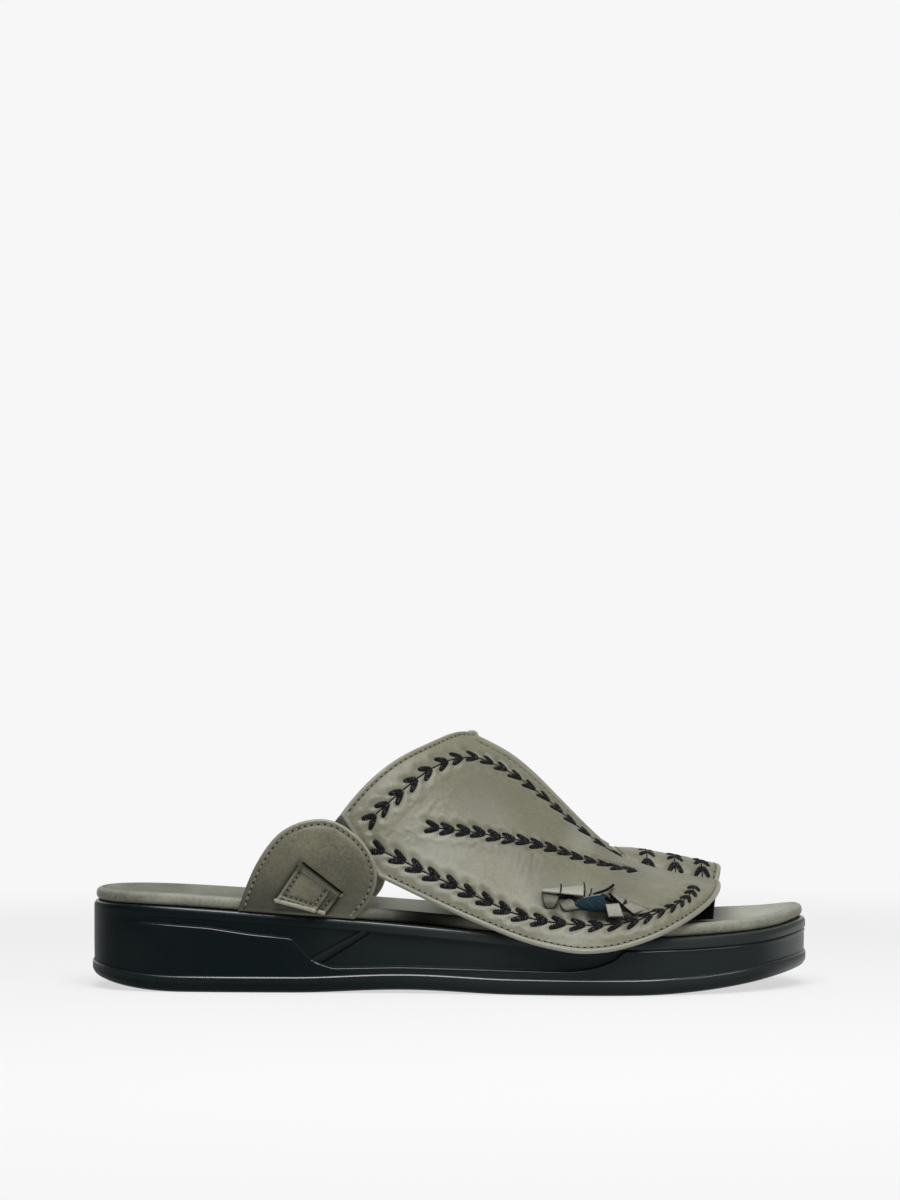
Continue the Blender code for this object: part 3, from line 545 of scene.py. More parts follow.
class Shape:
    """A mesh in the making: points in millimetres, faces and named masks."""

    def __init__(self) -> None:
        """Starts an empty mesh."""
        self.points: list[Array] = []
        self.faces: list[list[int]] = []
        self.masks: dict[str, list[Array]] = {}
        self.count = 0

    def add(self, points: Array, **masks: Array) -> Array:
        """Adds points of any grid shape.

        Args:
            points: grid of points.
            masks: values on those points, each in the grid's shape.

        Returns:
            The points' numbers in the grid's shape.
        """
        flat = np.asarray(points, float).reshape(-1, 3)
        numbers = np.arange(self.count, self.count + len(flat)).reshape(np.shape(points)[:-1])
        for name in set(masks) | set(self.masks):
            kept = self.masks.setdefault(name, [np.zeros(self.count)])
            kept.append(np.broadcast_to(masks.get(name, 0.0), np.shape(points)[:-1]).ravel())
        self.points.append(flat)
        self.count += len(flat)
        return numbers

    def quads(self, numbers: Array, closed: bool = False) -> None:
        """Faces over a grid of point numbers, closed round each row if asked."""
        after = np.roll(numbers, -1, axis=1) if closed else numbers[:, 1:]
        before = numbers if closed else numbers[:, :-1]
        stack = np.stack([before[:-1], after[:-1], after[1:], before[1:]], axis=-1).reshape(-1, 4)
        self.faces.extend(stack.tolist())

    def tube(self, rings: Array, **masks: Array) -> None:
        """A closed tube over rings of points, with both ends filled."""
        numbers = self.add(rings, **masks)
        self.quads(numbers, closed=True)
        self.faces.append(numbers[0].tolist())
        self.faces.append(numbers[-1].tolist())

    def between(self, row: Array, columns: int) -> tuple[Array, Array, Array]:
        """Points for strips across a closed row that runs from the heel up one side and back down the other.

        Args:
            row: numbers of the row's points.
            columns: strips from side to side.

        Returns:
            Numbers of the outer and of the inner side from heel to toe, and the points between them.
        """
        count = len(row) // 2 + 1
        outer = row[:count]
        inner = np.concatenate([row[:1], row[: count - 1 : -1], row[count - 1 : count]])
        points = np.concatenate(self.points)
        start, end = points[outer[1:-1]], points[inner[1:-1]]
        return outer, inner, start + np.linspace(0, 1, columns + 1)[1:-1, None, None] * (end - start)

    def close(self, outer: Array, inner: Array, inside: Array, **masks: Array) -> None:
        """Fills a closed row with strips over the points between its two sides."""
        lines = np.concatenate([outer[None, 1:-1], self.add(inside, **masks), inner[None, 1:-1]])
        self.quads(lines)
        for tip, row in ((outer[0], lines[:, 0]), (outer[-1], lines[:, -1])):
            self.faces.extend([int(tip), int(a), int(b)] for a, b in zip(row, row[1:]))

    def take(self, other: "Shape") -> None:
        """Adds another mesh's points, faces and masks."""
        masks = {name: np.concatenate(values) for name, values in other.masks.items()}
        numbers = self.add(np.concatenate(other.points), **masks)
        self.faces.extend([int(numbers[i]) for i in face] for face in other.faces)

    def object(self, name: str, sharp_angle: float = 40.0) -> Piece:
        """Makes the mesh into an object in metres with outward faces.

        Args:
            name: the object's name.
            sharp_angle: edges bent more than this stay sharp, in degrees.

        Returns:
            The object, linked to the scene.
        """
        mesh = bpy.data.meshes.new(name)
        mesh.from_pydata((np.concatenate(self.points) * MM).tolist(), [], self.faces)
        bm = bmesh.new()
        bm.from_mesh(mesh)
        bm.normal_update()
        bmesh.ops.recalc_face_normals(bm, faces=bm.faces)
        bm.to_mesh(mesh)
        bm.free()
        for mask, values in self.masks.items():
            mesh.attributes.new(mask, "FLOAT", "POINT").data.foreach_set("value", np.concatenate(values))
        mesh.shade_smooth()
        mesh.set_sharp_from_angle(angle=math.radians(sharp_angle))
        made = bpy.data.objects.new(name, mesh)
        bpy.context.scene.collection.objects.link(made)
        return made


def place(piece: Piece, finish: Material, slot: Slot | None, *nodes: str) -> Piece:
    """Dresses a piece, lets it ride on the part and stand for its nodes.

    Args:
        piece: the piece's object.
        finish: its material.
        slot: the record's slot of the piece, if any; it is not used.
        nodes: nodes that it stands for.

    Returns:
        The same piece.
    """
    piece.data.materials.clear()
    piece.data.materials.append(finish)
    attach(piece, BODY)
    if nodes:
        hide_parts(*nodes)
    LOG.info("%s: %d faces", piece.name, len(piece.data.polygons))
    return piece


@dataclass
class Wall:
    """A leather wall over a grid of surface coordinates, with a rounded border and a plainer back."""

    surface: Surface
    grid: Array
    low: Array | float
    high: Array | float
    edge_radius: float = 1.2
    back_step: int = 4
    face: Array = field(init=False)
    edge: Array = field(init=False)
    skin: Array = field(init=False)

    def __post_init__(self) -> None:
        """Works out the plain face and each point's distance from the border."""
        self.face = self.at(self.high)
        face = self.face
        border = np.concatenate([face[0], face[1:, -1], face[-1, -2::-1], face[-2::-1, 0]])
        self.edge = nearest(border, face)

    def at(self, lift: Array | float) -> Array:
        """Points of the grid at a lift."""
        return self.surface(self.grid[..., 0], self.grid[..., 1], np.broadcast_to(lift, self.grid.shape[:2]))

    def shape(self, relief: Array, **masks: Array) -> Shape:
        """The wall's mesh.

        Args:
            relief: height added to the face at each grid point.
            masks: values for the finish on the face's points.

        Returns:
            A closed mesh.
        """
        short = 1 - np.clip(self.edge / self.edge_radius, 0, 1)
        round_off = np.sqrt(1 - short**2)
        middle = (np.asarray(self.low) + self.high) / 2
        half = (np.asarray(self.high) - self.low) / 2
        made = Shape()
        self.skin = self.at(middle + (half + relief) * round_off)
        numbers = made.add(self.skin, **masks)
        made.quads(numbers)
        self.add_back(made, numbers, self.at(middle - half * round_off))
        return made

    def seat(self) -> Seat:
        """A function that lays points on the finished face and gives the upward direction there."""
        skin = self.skin.reshape(-1, 3)
        ups = unit(self.at(np.asarray(self.high) + 1.0) - self.face).reshape(-1, 3)
        tree = finder(skin)

        def read(points: Array) -> tuple[Array, Array]:
            """The laid points and their upward directions."""
            near = [tree.find(point)[1] for point in points]
            rise = ((skin[near] - points) * ups[near]).sum(-1, keepdims=True)
            return points + rise * ups[near], ups[near]

        return read

    def add_back(self, made: Shape, numbers: Array, points: Array) -> None:
        """Closes the wall with a back of larger faces that shares the border's points.

        Args:
            made: mesh that takes the back.
            numbers: numbers of the face's points.
            points: points of the full back.
        """
        step = self.back_step
        rows, columns = np.arange(0, numbers.shape[0], step), np.arange(0, numbers.shape[1], step)
        back = numbers[np.ix_(rows, columns)].copy()
        back[1:-1, 1:-1] = made.add(points[np.ix_(rows, columns)][1:-1, 1:-1])
        for i, row in enumerate(rows[:-1]):
            for j, start in enumerate(columns[:-1]):
                loop = [back[i, j]]
                loop += numbers[row, start + 1 : start + step].tolist() if i == 0 else []
                loop.append(back[i, j + 1])
                loop += numbers[row + 1 : row + step, -1].tolist() if j == len(columns) - 2 else []
                loop.append(back[i + 1, j + 1])
                loop += numbers[-1, start + step - 1 : start : -1].tolist() if i == len(rows) - 2 else []
                loop.append(back[i + 1, j])
                loop += numbers[row + step - 1 : row : -1, 0].tolist() if j == 0 else []
                made.faces.append([int(k) for k in loop])


# Thread work

PAIR_STEPS = 12
LEAF_OUTLINE = (
    # share of an arm from its outer end to the vertex, share of its full width
    (0.0, 0.12), (0.06, 0.52), (0.16, 0.76), (0.36, 0.95), (0.6, 1.0), (0.85, 0.9), (0.96, 0.6), (1.0, 0.2),
)


@dataclass
class Chevron:
    """One stitched leaf pair: its vertex, its two arms from outer end to vertex, and its scale."""

    vertex: Array
    arms: list[Array]
    scale: float


def from_arms(points: Array, leaves: "Leaves") -> Array:
    """Distance of points to the nearest arm of lines of leaf pairs, up to 50."""
    away = np.full(points.shape[:-1], 50.0)
    for _, chevrons in leaves:
        for chevron in chevrons:
            for arm in chevron.arms:
                away = np.minimum(away, to_segment(points, chevron.vertex, arm[0]))
    return away


@dataclass
class ChevronLine:
    """Sizes of a line of stitched leaf pairs; a pair shrinks where the next one is nearer than the pitch."""

    pitch: float
    arms: Pair = (6.3, 5.7)
    spread_deg: float = 25.0
    width: float = 2.3
    height: float = 0.7
    lays: int = 7
    smallest: float = 0.4

    def along(self, face: Face, path: Array) -> list[Chevron]:
        """Places leaf pairs along a line of coordinates.

        Args:
            face: the stitched face.
            path: coordinates along the line, with a leaf pair at every PAIR_STEPS.

        Returns:
            The leaf pairs in order, each pointing along the line.
        """
        points = face.at(path)
        run = np.gradient(points, axis=0)
        pitch = np.linalg.norm(np.gradient(points[::PAIR_STEPS], axis=0), axis=-1)
        made = []
        for i, size in enumerate(np.clip(pitch / self.pitch, self.smallest, 1.0)):
            at = i * PAIR_STEPS
            arms = [
                self.arm_path(face, path[at], -run[at], turn, size * reach)
                for turn, reach in zip((1, -1), self.arms)
            ]
            made.append(Chevron(points[at], arms, size))
        return made

    def arm_path(self, face: Face, start: Array, backward: Array, turn: int, reach: float) -> Array:
        """Steps over the face from the vertex to an arm's outer end.

        Args:
            face: the stitched face.
            start: the vertex's coordinates.
            backward: direction against the line's run.
            turn: -1 or 1, the side that the arm spreads to.
            reach: the arm's length.

        Returns:
            Points from the outer end to the vertex.
        """
        steps = 8
        at, heading, made = start.copy(), None, [face.at(start)]
        for _ in range(steps):
            up = unit(face.at(at, 1.0) - face.at(at))
            if heading is None:
                straight = unit(backward - up * (backward @ up))
                spread = turn * math.radians(self.spread_deg)
                heading = math.cos(spread) * straight + math.sin(spread) * np.cross(up, straight)
            heading = unit(heading - up * (heading @ up))
            at = at + np.linalg.pinv(np.stack(face.slopes(at), axis=-1)) @ (heading * reach / steps)
            made.append(face.at(at))
        return np.array(made[::-1])

    def leaf(self, made: Shape, arm: Array, seat: Seat, lift: float, scale: float) -> None:
        """Adds one plump arm of plaited thread from its outer end to the vertex.

        Args:
            made: mesh that takes it.
            arm: the arm's points.
            seat: lays points on the stitched face.
            lift: height of the thread's middle over that face.
            scale: the leaf pair's scale.
        """
        stations, sides = 36, 12
        share = np.linspace(0.0, 1.0, stations)[:, None]
        turn = full_turn(sides)[None, :]
        path, ups = seat(spaced(arm, share[:, 0] * run_length(arm)[-1]))
        ends = np.linspace(0, 1, 5)
        keep = np.linspace(0, stations - 1, 5).astype(int)
        path, ups = (curve_through(ends, row[keep])(share[:, 0]) for row in (path + lift * ups, ups))
        along = unit(np.gradient(path, axis=0))
        across = unit(np.cross(ups, along))
        plump = smooth_through(*zip(*LEAF_OUTLINE))(share)
        plait = np.cos(2 * math.pi * (self.lays * share + 0.55 * np.abs(np.cos(turn))))
        radius = plump * (1 + 0.2 * plait)
        sideways = (scale**1.6 * radius * np.cos(turn) * self.width / 2)[..., None] * across[:, None]
        upward = (scale * radius * np.sin(turn) * self.height)[..., None] * ups[:, None]
        # The plait's ridges are painted paler as glints.
        made.tube(path[:, None] + sideways + upward, wear=np.clip(plait - 0.3, 0, 1))

    def mesh(self, chevrons: Sequence[Chevron], name: str, seat: Seat, lift: float = 0.1) -> Piece:
        """All the leaf pairs and the thin thread between them as one object.

        Args:
            chevrons: the leaf pairs of one line.
            name: the object's name.
            seat: lays points on the stitched face.
            lift: height of the thread's middle over that face.

        Returns:
            The object.
        """
        made = Shape()
        for chevron in chevrons:
            for arm in chevron.arms:
                self.leaf(made, arm, seat, lift, chevron.scale)
        for first, second in zip(chevrons, chevrons[1:]):
            path, ups = seat(first.vertex + np.linspace(0, 1, 9)[:, None] * (second.vertex - first.vertex))
            add_cord(made, path + 0.1 * ups, 0.26)
        return made.object(name, 60.0)


Leaves = Sequence[tuple[ChevronLine, list[Chevron]]]


def add_cord(made: Shape, path: Array, radius: float, sides: int = 7, **masks: float) -> None:
    """Adds a thin round thread with closed ends.

    Args:
        made: mesh that takes it.
        path: points along its middle.
        radius: its radius.
        sides: faces round it.
        masks: one value for the whole thread each.
    """
    along = unit(np.gradient(path, axis=0))
    start = np.array([0.0, 0.0, 1.0]) if abs(along[0, 2]) < 0.9 else np.array([1.0, 0.0, 0.0])
    across = unit(np.cross(along, start))
    over = np.cross(across, along)
    turn = full_turn(sides)
    around = np.cos(turn)[None, :, None] * across[:, None, :] + np.sin(turn)[None, :, None] * over[:, None, :]
    made.tube(path[:, None, :] + radius * around, **masks)


@dataclass
class Stitching:
    """A row of short stitches between needle slots painted dark as shade, in a trough along an edge."""

    inset: float = 2.15
    pitch: float = 2.6
    slot: float = 1.5
    radius: float = 0.56
    trough_depth: float = 0.34
    trough_width: float = 0.8

    def path(self, face: Face, edge: Array, turn: float, trim: Pair) -> Array:
        """The stitch line beside an edge.

        Args:
            face: the stitched face.
            edge: coordinates along the edge.
            turn: share of the inset, positive where the leather lies to the left of the edge's run.
            trim: lengths left out at the start and at the end.

        Returns:
            Points of the line, close together.
        """
        points = face.at(face.inset(edge, turn * self.inset))
        length = run_length(points)[-1]
        return spaced(points, np.arange(trim[0], length - trim[1], 0.2))

    def relief(self, lines: Sequence[Array], points: Array) -> Array:
        """The troughs that the stitches pull into the leather, as heights below the face."""
        depth = np.zeros(points.shape[:-1])
        for line in lines:
            away = nearest(line, points)
            depth = np.minimum(depth, -self.trough_depth * bell(away, self.trough_width))
        return depth

    def add(self, made: Shape, line: Array, seat: Seat) -> None:
        """Adds the stitches and slots of one line to a mesh; the slots carry the mask of painted shade.

        Args:
            made: mesh that takes them.
            line: points of the stitch line.
            seat: lays points on the stitched face.
        """
        length = run_length(line)[-1]
        count = max(1, int(length / self.pitch))
        bend = np.linspace(0, 1, 6)
        rise = np.sin(math.pi * bend) ** 0.6
        starts = (length - count * self.pitch) / 2 + self.pitch * np.arange(count)
        # share of the pitch that each bit starts at, its length, its height at the ends and middle, its
        # painted shade
        stitch = (self.slot - 0.25, self.pitch - self.slot + 0.5, 0.0, 0.36, 0.0)
        bits = ((0.0, self.slot, 0.04, 0.16, 1.0), stitch)
        for start in starts:
            for lead, reach, low, high, dent in bits:
                path, ups = seat(spaced(line, start + lead + bend * reach))
                lift = low + high * rise - self.radius
                add_cord(made, path + lift[:, None] * ups, self.radius, 7, dent=dent)


# Finishes


BLACK = (0.0, 0.0, 0.0, 1.0)


def feed(tree: Tree, target: Socket, given: Given) -> None:
    """Links a socket to an input, or sets the input's own value."""
    if isinstance(given, Socket):
        tree.links.new(given, target)
    else:
        target.default_value = given


def add_node(tree: Tree, kind: str, setting: tuple | None = None, **inputs: Given) -> Node:
    """Adds a shader node.

    Args:
        tree: tree that takes it.
        kind: its type, without the word in front that all types share.
        setting: name and value of one of its settings, if any.
        inputs: what each input gets; a space in its name is written as an underscore.

    Returns:
        The node.
    """
    made = tree.nodes.new("ShaderNode" + kind)
    if setting:
        setattr(made, *setting)
    for label, given in inputs.items():
        feed(tree, made.inputs[label.replace("_", " ")], given)
    return made


def blend(tree: Tree, share: Socket, first: Node, second: Node, end: str) -> None:
    """Feeds a tree's end node with a mix of two shaders.

    Args:
        tree: tree that takes the mix.
        share: share of the second shader.
        first: the first shader.
        second: the second shader.
        end: name of the end node.
    """
    mixed = add_node(tree, "MixShader")
    for target, given in zip(mixed.inputs, (share, first.outputs[0], second.outputs[0])):
        feed(tree, target, given)
    feed(tree, tree.nodes[end].inputs["Surface"], mixed.outputs[0])


class Group:
    """A shader node group in the making, with named inputs and outputs."""

    def __init__(self, name: str, inputs: dict[str, str], outputs: dict[str, str]) -> None:
        """Makes the empty group.

        Args:
            name: the group's name.
            inputs: socket names and their types.
            outputs: socket names and their types.
        """
        self.tree = bpy.data.node_groups.new(name, "ShaderNodeTree")
        for label, kind in inputs.items():
            self.tree.interface.new_socket(label, in_out="INPUT", socket_type=kind)
        for label, kind in outputs.items():
            self.tree.interface.new_socket(label, in_out="OUTPUT", socket_type=kind)
        self.start = self.tree.nodes.new("NodeGroupInput")
        self.end = self.tree.nodes.new("NodeGroupOutput")
        self.place = add_node(self.tree, "TexCoord").outputs["Object"]

    def noise(self, scale: float, detail: float, stretch: Triple | None = None) -> Socket:
        """Noise over the object's own coordinates, with cells of about one over the scale in metres."""
        at = self.place
        if stretch:
            at = add_node(self.tree, "Mapping", Vector=at, Scale=stretch).outputs["Vector"]
        return add_node(self.tree, "TexNoise", Vector=at, Scale=scale, Detail=detail).outputs["Fac"]

    def cells(self, scale: float) -> Socket:
        """Distance to the middle of small random cells."""
        return add_node(self.tree, "TexVoronoi", Vector=self.place, Scale=scale).outputs["Distance"]

    def span(self, source: Socket, low: float, high: float, to: Pair = (0, 1)) -> Socket:
        """Maps a range of values to another, held at its ends."""
        ends = {"From_Min": low, "From_Max": high, "To_Min": to[0], "To_Max": to[1]}
        return add_node(self.tree, "MapRange", Value=source, **ends).outputs["Result"]

    def math(self, operation: str, first: Socket, second: Socket | float) -> Socket:
        """One sum, product or the like of two values."""
        made = add_node(self.tree, "Math", ("operation", operation))
        feed(self.tree, made.inputs[0], first)
        feed(self.tree, made.inputs[1], second)
        return made.outputs[0]

    def mix(self, share: Socket, first: Socket, second: Given = BLACK) -> Socket:
        """A colour between two others; the second is black where none is given."""
        made = add_node(self.tree, "Mix", ("data_type", "RGBA"), Factor=share, A=first, B=second)
        return made.outputs["Result"]

    def mask(self, name: str) -> Socket:
        """A named value stored on the mesh."""
        return add_node(self.tree, "Attribute", ("attribute_name", name)).outputs["Fac"]

    def out(self, label: str, source: Socket) -> None:
        """Feeds one of the group's outputs."""
        feed(self.tree, self.end.inputs[label], source)


COLOUR, VALUE = "NodeSocketColor", "NodeSocketFloat"
TICK_PITCH = 1.1
TICK_SCALE = 2 * math.pi / (20 * TICK_PITCH * MM)


def leather_tone_group() -> Tree:
    """Cloudy leather colour, paler at rubbed edges and painted sheen, with painted shade in dents and a
    painted shadow that also turns metallic, and a roughness that follows them.
    """
    inputs = {"Base": COLOUR, "Pale": COLOUR, "Dark": COLOUR}
    group = Group("leather_tone", inputs, {"Color": COLOUR, "Roughness": VALUE, "Metallic": VALUE})
    base, pale, dark = (group.start.outputs[label] for label in inputs)
    clouds = group.noise(26.0, 5.0)
    specks = group.noise(850.0, 3.0)
    mottle = group.noise(95.0, 4.0)
    colour = group.mix(group.span(clouds, 0.5, 0.36, (0, 0.45)), base, dark)
    colour = group.mix(group.span(clouds, 0.52, 0.72, (0, 0.5)), colour, pale)
    colour = group.mix(group.span(mottle, 0.5, 0.68, (0, 0.3)), colour, dark)
    colour = group.mix(group.span(specks, 0.52, 0.7, (0, 0.3)), colour, dark)
    colour = group.mix(group.span(specks, 0.48, 0.3, (0, 0.18)), colour, pale)
    # The first mask pales rubbed edges and painted sheen; the second darkens with painted shade in puckers,
    # troughs and dark patches.
    colour = group.mix(group.math("MULTIPLY", group.mask("wear"), 0.85), colour, pale)
    colour = group.mix(group.math("MULTIPLY", group.mask("dent"), 0.8), colour, dark)
    # The shade mask is a painted shadow: it darkens towards black and raises Metallic so that the gloss goes
    # too.
    shade = group.mask("shade")
    group.out("Color", group.mix(group.math("MULTIPLY", shade, 0.9), colour))
    group.out("Roughness", group.math("MAXIMUM", group.span(clouds, 0.3, 0.7, (0.46, 0.36)), shade))
    group.out("Metallic", group.span(shade, 0.55, 0.85, (0, 0.9)))
    return group.tree


def leather_grain_group() -> Tree:
    """Fine pebble, pores and faint stretched creases of smooth leather, as a height."""
    group = Group("leather_grain", {}, {"Height": VALUE})
    pebble = group.span(group.cells(1150.0), 0.0, 0.75)
    pores = group.noise(2600.0, 2.0)
    creases = group.span(group.noise(210.0, 4.0, (1.0, 1.0, 2.6)), 0.42, 0.5)
    height = group.math("ADD", group.math("MULTIPLY", pebble, 0.5), group.math("MULTIPLY", pores, 0.35))
    group.out("Height", group.math("ADD", height, group.math("MULTIPLY", creases, 0.5)))
    return group.tree


def thread_lay_group() -> Tree:
    """Fine fibres of twisted thread, with pale flecks partly of lighter fibre and partly painted glints,
    plait ridges painted paler as glints and painted shade where a mesh marks a needle slot: a colour and a
    height.
    """
    inputs = {"Base": COLOUR, "Pale": COLOUR, "Slot": COLOUR}
    group = Group("thread_lay", inputs, {"Color": COLOUR, "Height": VALUE})
    fibre = group.noise(1900.0, 3.0, (1.0, 2.2, 1.6))
    base, pale, slot = (group.start.outputs[label] for label in inputs)
    flecks = group.noise(1300.0, 2.0)
    colour = group.mix(group.span(flecks, 0.59, 0.71), base, pale)
    # Plait ridges are painted paler as glints; needle slots are painted dark as shade.
    colour = group.mix(group.math("MULTIPLY", group.mask("wear"), 0.3), colour, pale)
    group.out("Color", group.mix(group.mask("dent"), colour, slot))
    group.out("Height", fibre)
    return group.tree


def moulded_skin_group() -> Tree:
    """The faintly uneven skin of a moulded sole, paler in random patches and where a mask paints a reflection
    on its upper rows and towards the toe.
    """
    inputs = {"Base": COLOUR, "Dust": COLOUR}
    outputs = {"Color": COLOUR, "Roughness": VALUE, "Coat": VALUE, "Height": VALUE}
    group = Group("moulded_skin", inputs, outputs)
    patches = group.noise(34.0, 4.0)
    fine = group.noise(1700.0, 2.0)
    base, sheen_colour = (group.start.outputs[label] for label in inputs)
    colour = group.mix(group.span(patches, 0.5, 0.8, (0, 0.2)), base, sheen_colour)
    # The mask paints a reflection, paler on the lip and towards the toe.
    group.out("Color", group.mix(group.mask("wear"), colour, sheen_colour))
    group.out("Roughness", group.span(patches, 0.3, 0.7, (0.4, 0.48)))
    group.out("Coat", group.math("MULTIPLY", group.mask("bead"), 0.8))
    across = ("bands_direction", "X")
    ticks = add_node(group.tree, "TexWave", across, Vector=group.place, Scale=TICK_SCALE)
    ticked = group.math("MULTIPLY", ticks.outputs["Fac"], group.mask("tick"))
    ribs, skin = group.math("MULTIPLY", ticked, 1.7), group.math("MULTIPLY", fine, 0.5)
    group.out("Height", group.math("ADD", ribs, skin))
    return group.tree


class Finishes:
    """The shader groups, each built once."""

    def __init__(self) -> None:
        """Builds the groups."""
        self.leather_tone = leather_tone_group()
        self.leather_grain = leather_grain_group()
        self.thread_lay = thread_lay_group()
        self.moulded_skin = moulded_skin_group()


class Dressing:
    """A material in the making around one Principled shader."""

    def __init__(self, name: str) -> None:
        """Makes the plain material."""
        self.made = bpy.data.materials.new(name)
        self.made.use_nodes = True
        self.tree = self.made.node_tree
        self.shader = self.tree.nodes["Principled BSDF"]

    def group(self, tree: Tree, **colours: Colour) -> Node:
        """Places a shader group with its colours."""
        values = {label: (*colour, 1.0) for label, colour in colours.items()}
        return add_node(self.tree, "Group", ("node_tree", tree), **values)

    def feed(self, **inputs: Given) -> None:
        """Feeds or sets inputs of the shader; a space in a name is written as an underscore."""
        for label, given in inputs.items():
            feed(self.tree, self.shader.inputs[label.replace("_", " ")], given)

    def bump(self, height: Socket, strength: float, depth: float) -> None:
        """Feeds a height through a Bump node into the shader's normal."""
        made = add_node(self.tree, "Bump", Strength=strength, Distance=depth * MM, Height=height)
        self.feed(Normal=made.outputs["Normal"])


@dataclass(frozen=True)
class LeatherFinish:
    """Smooth, lightly rubbed leather."""

    name: str
    base: Colour
    pale: Colour
    dark: Colour
    grain: float = 0.36
    gloss: float = 0.36
    grain_depth: float = 0.16

    def make(self, groups: Finishes) -> Material:
        """The leather's material."""
        dressing = Dressing(self.name)
        tone = dressing.group(groups.leather_tone, Base=self.base, Pale=self.pale, Dark=self.dark).outputs
        grain = dressing.group(groups.leather_grain).outputs
        dressing.feed(Base_Color=tone["Color"], Roughness=tone["Roughness"], Metallic=tone["Metallic"])
        dressing.feed(Specular_IOR_Level=self.gloss)
        dressing.bump(grain["Height"], self.grain, self.grain_depth)
        return dressing.made


@dataclass(frozen=True)
class ThreadFinish:
    """Twisted thread."""

    name: str
    base: Colour
    pale: Colour
    roughness: float = 0.6
    gloss: float = 0.4

    def make(self, groups: Finishes) -> Material:
        """The thread's material."""
        dressing = Dressing(self.name)
        lay = dressing.group(groups.thread_lay, Base=self.base, Pale=self.pale, Slot=NEEDLE_HOLE_SHADE).outputs
        dressing.feed(Base_Color=lay["Color"], Roughness=self.roughness, Specular_IOR_Level=self.gloss)
        dressing.bump(lay["Height"], 0.5, 0.2)
        return dressing.made


@dataclass(frozen=True)
class SoleFinish:
    """Moulded satin sole."""

    name: str
    base: Colour
    sheen_colour: Colour

    def make(self, groups: Finishes) -> Material:
        """The sole's material."""
        dressing = Dressing(self.name)
        skin = dressing.group(groups.moulded_skin, Base=self.base, Dust=self.sheen_colour).outputs
        dressing.feed(Base_Color=skin["Color"], Roughness=skin["Roughness"], Coat_Weight=skin["Coat"])
        dressing.feed(Coat_Roughness=0.22, Coat_IOR=2.0, Specular_IOR_Level=0.08)
        dressing.bump(skin["Height"], 0.4, 0.1)
        return dressing.made


# Near-black painted shade of the needle holes between stitches.
NEEDLE_HOLE_SHADE: Colour = (0.012, 0.011, 0.008)
OLIVE: Colour = (0.16, 0.157, 0.106)
OLIVE_PALE: Colour = (0.275, 0.276, 0.23)
OLIVE_DARK: Colour = (0.096, 0.092, 0.061)
PANEL_LEATHER = LeatherFinish("panel_leather", OLIVE, OLIVE_PALE, OLIVE_DARK)
# The tab's leather is a darker copy of the panel's, painted shade for the upright tab and its strap.
TAB_LEATHER = LeatherFinish("tab_leather", (0.146, 0.14, 0.093), (0.27, 0.267, 0.205), (0.026, 0.025, 0.017))
INSOLE_PALE: Colour = (0.36, 0.362, 0.31)
INSOLE_DARK: Colour = (0.055, 0.055, 0.041)
INSOLE_LEATHER = LeatherFinish("insole_leather", (0.2, 0.203, 0.16), INSOLE_PALE, INSOLE_DARK, 0.26, 0.06)
STRIP_LEATHER = LeatherFinish("strip_leather", (0.195, 0.19, 0.14), OLIVE_PALE, (0.05, 0.046, 0.033), 0.2)
BLACK_THREAD = ThreadFinish("black_thread", (0.0025, 0.0026, 0.0028), (0.085, 0.086, 0.085), 0.65, 0.06)
EDGE_THREAD = ThreadFinish("edge_thread", (0.15, 0.142, 0.105), (0.24, 0.23, 0.18), 0.7, 0.2)
BLUE_THREAD = ThreadFinish("blue_thread", (0.011, 0.026, 0.038), (0.05, 0.095, 0.125), 0.8, 0.1)
BLACK_SOLE = SoleFinish("moulded_black", (0.0008, 0.0042, 0.0052), (0.022, 0.027, 0.0265))


# Sub-assemblies


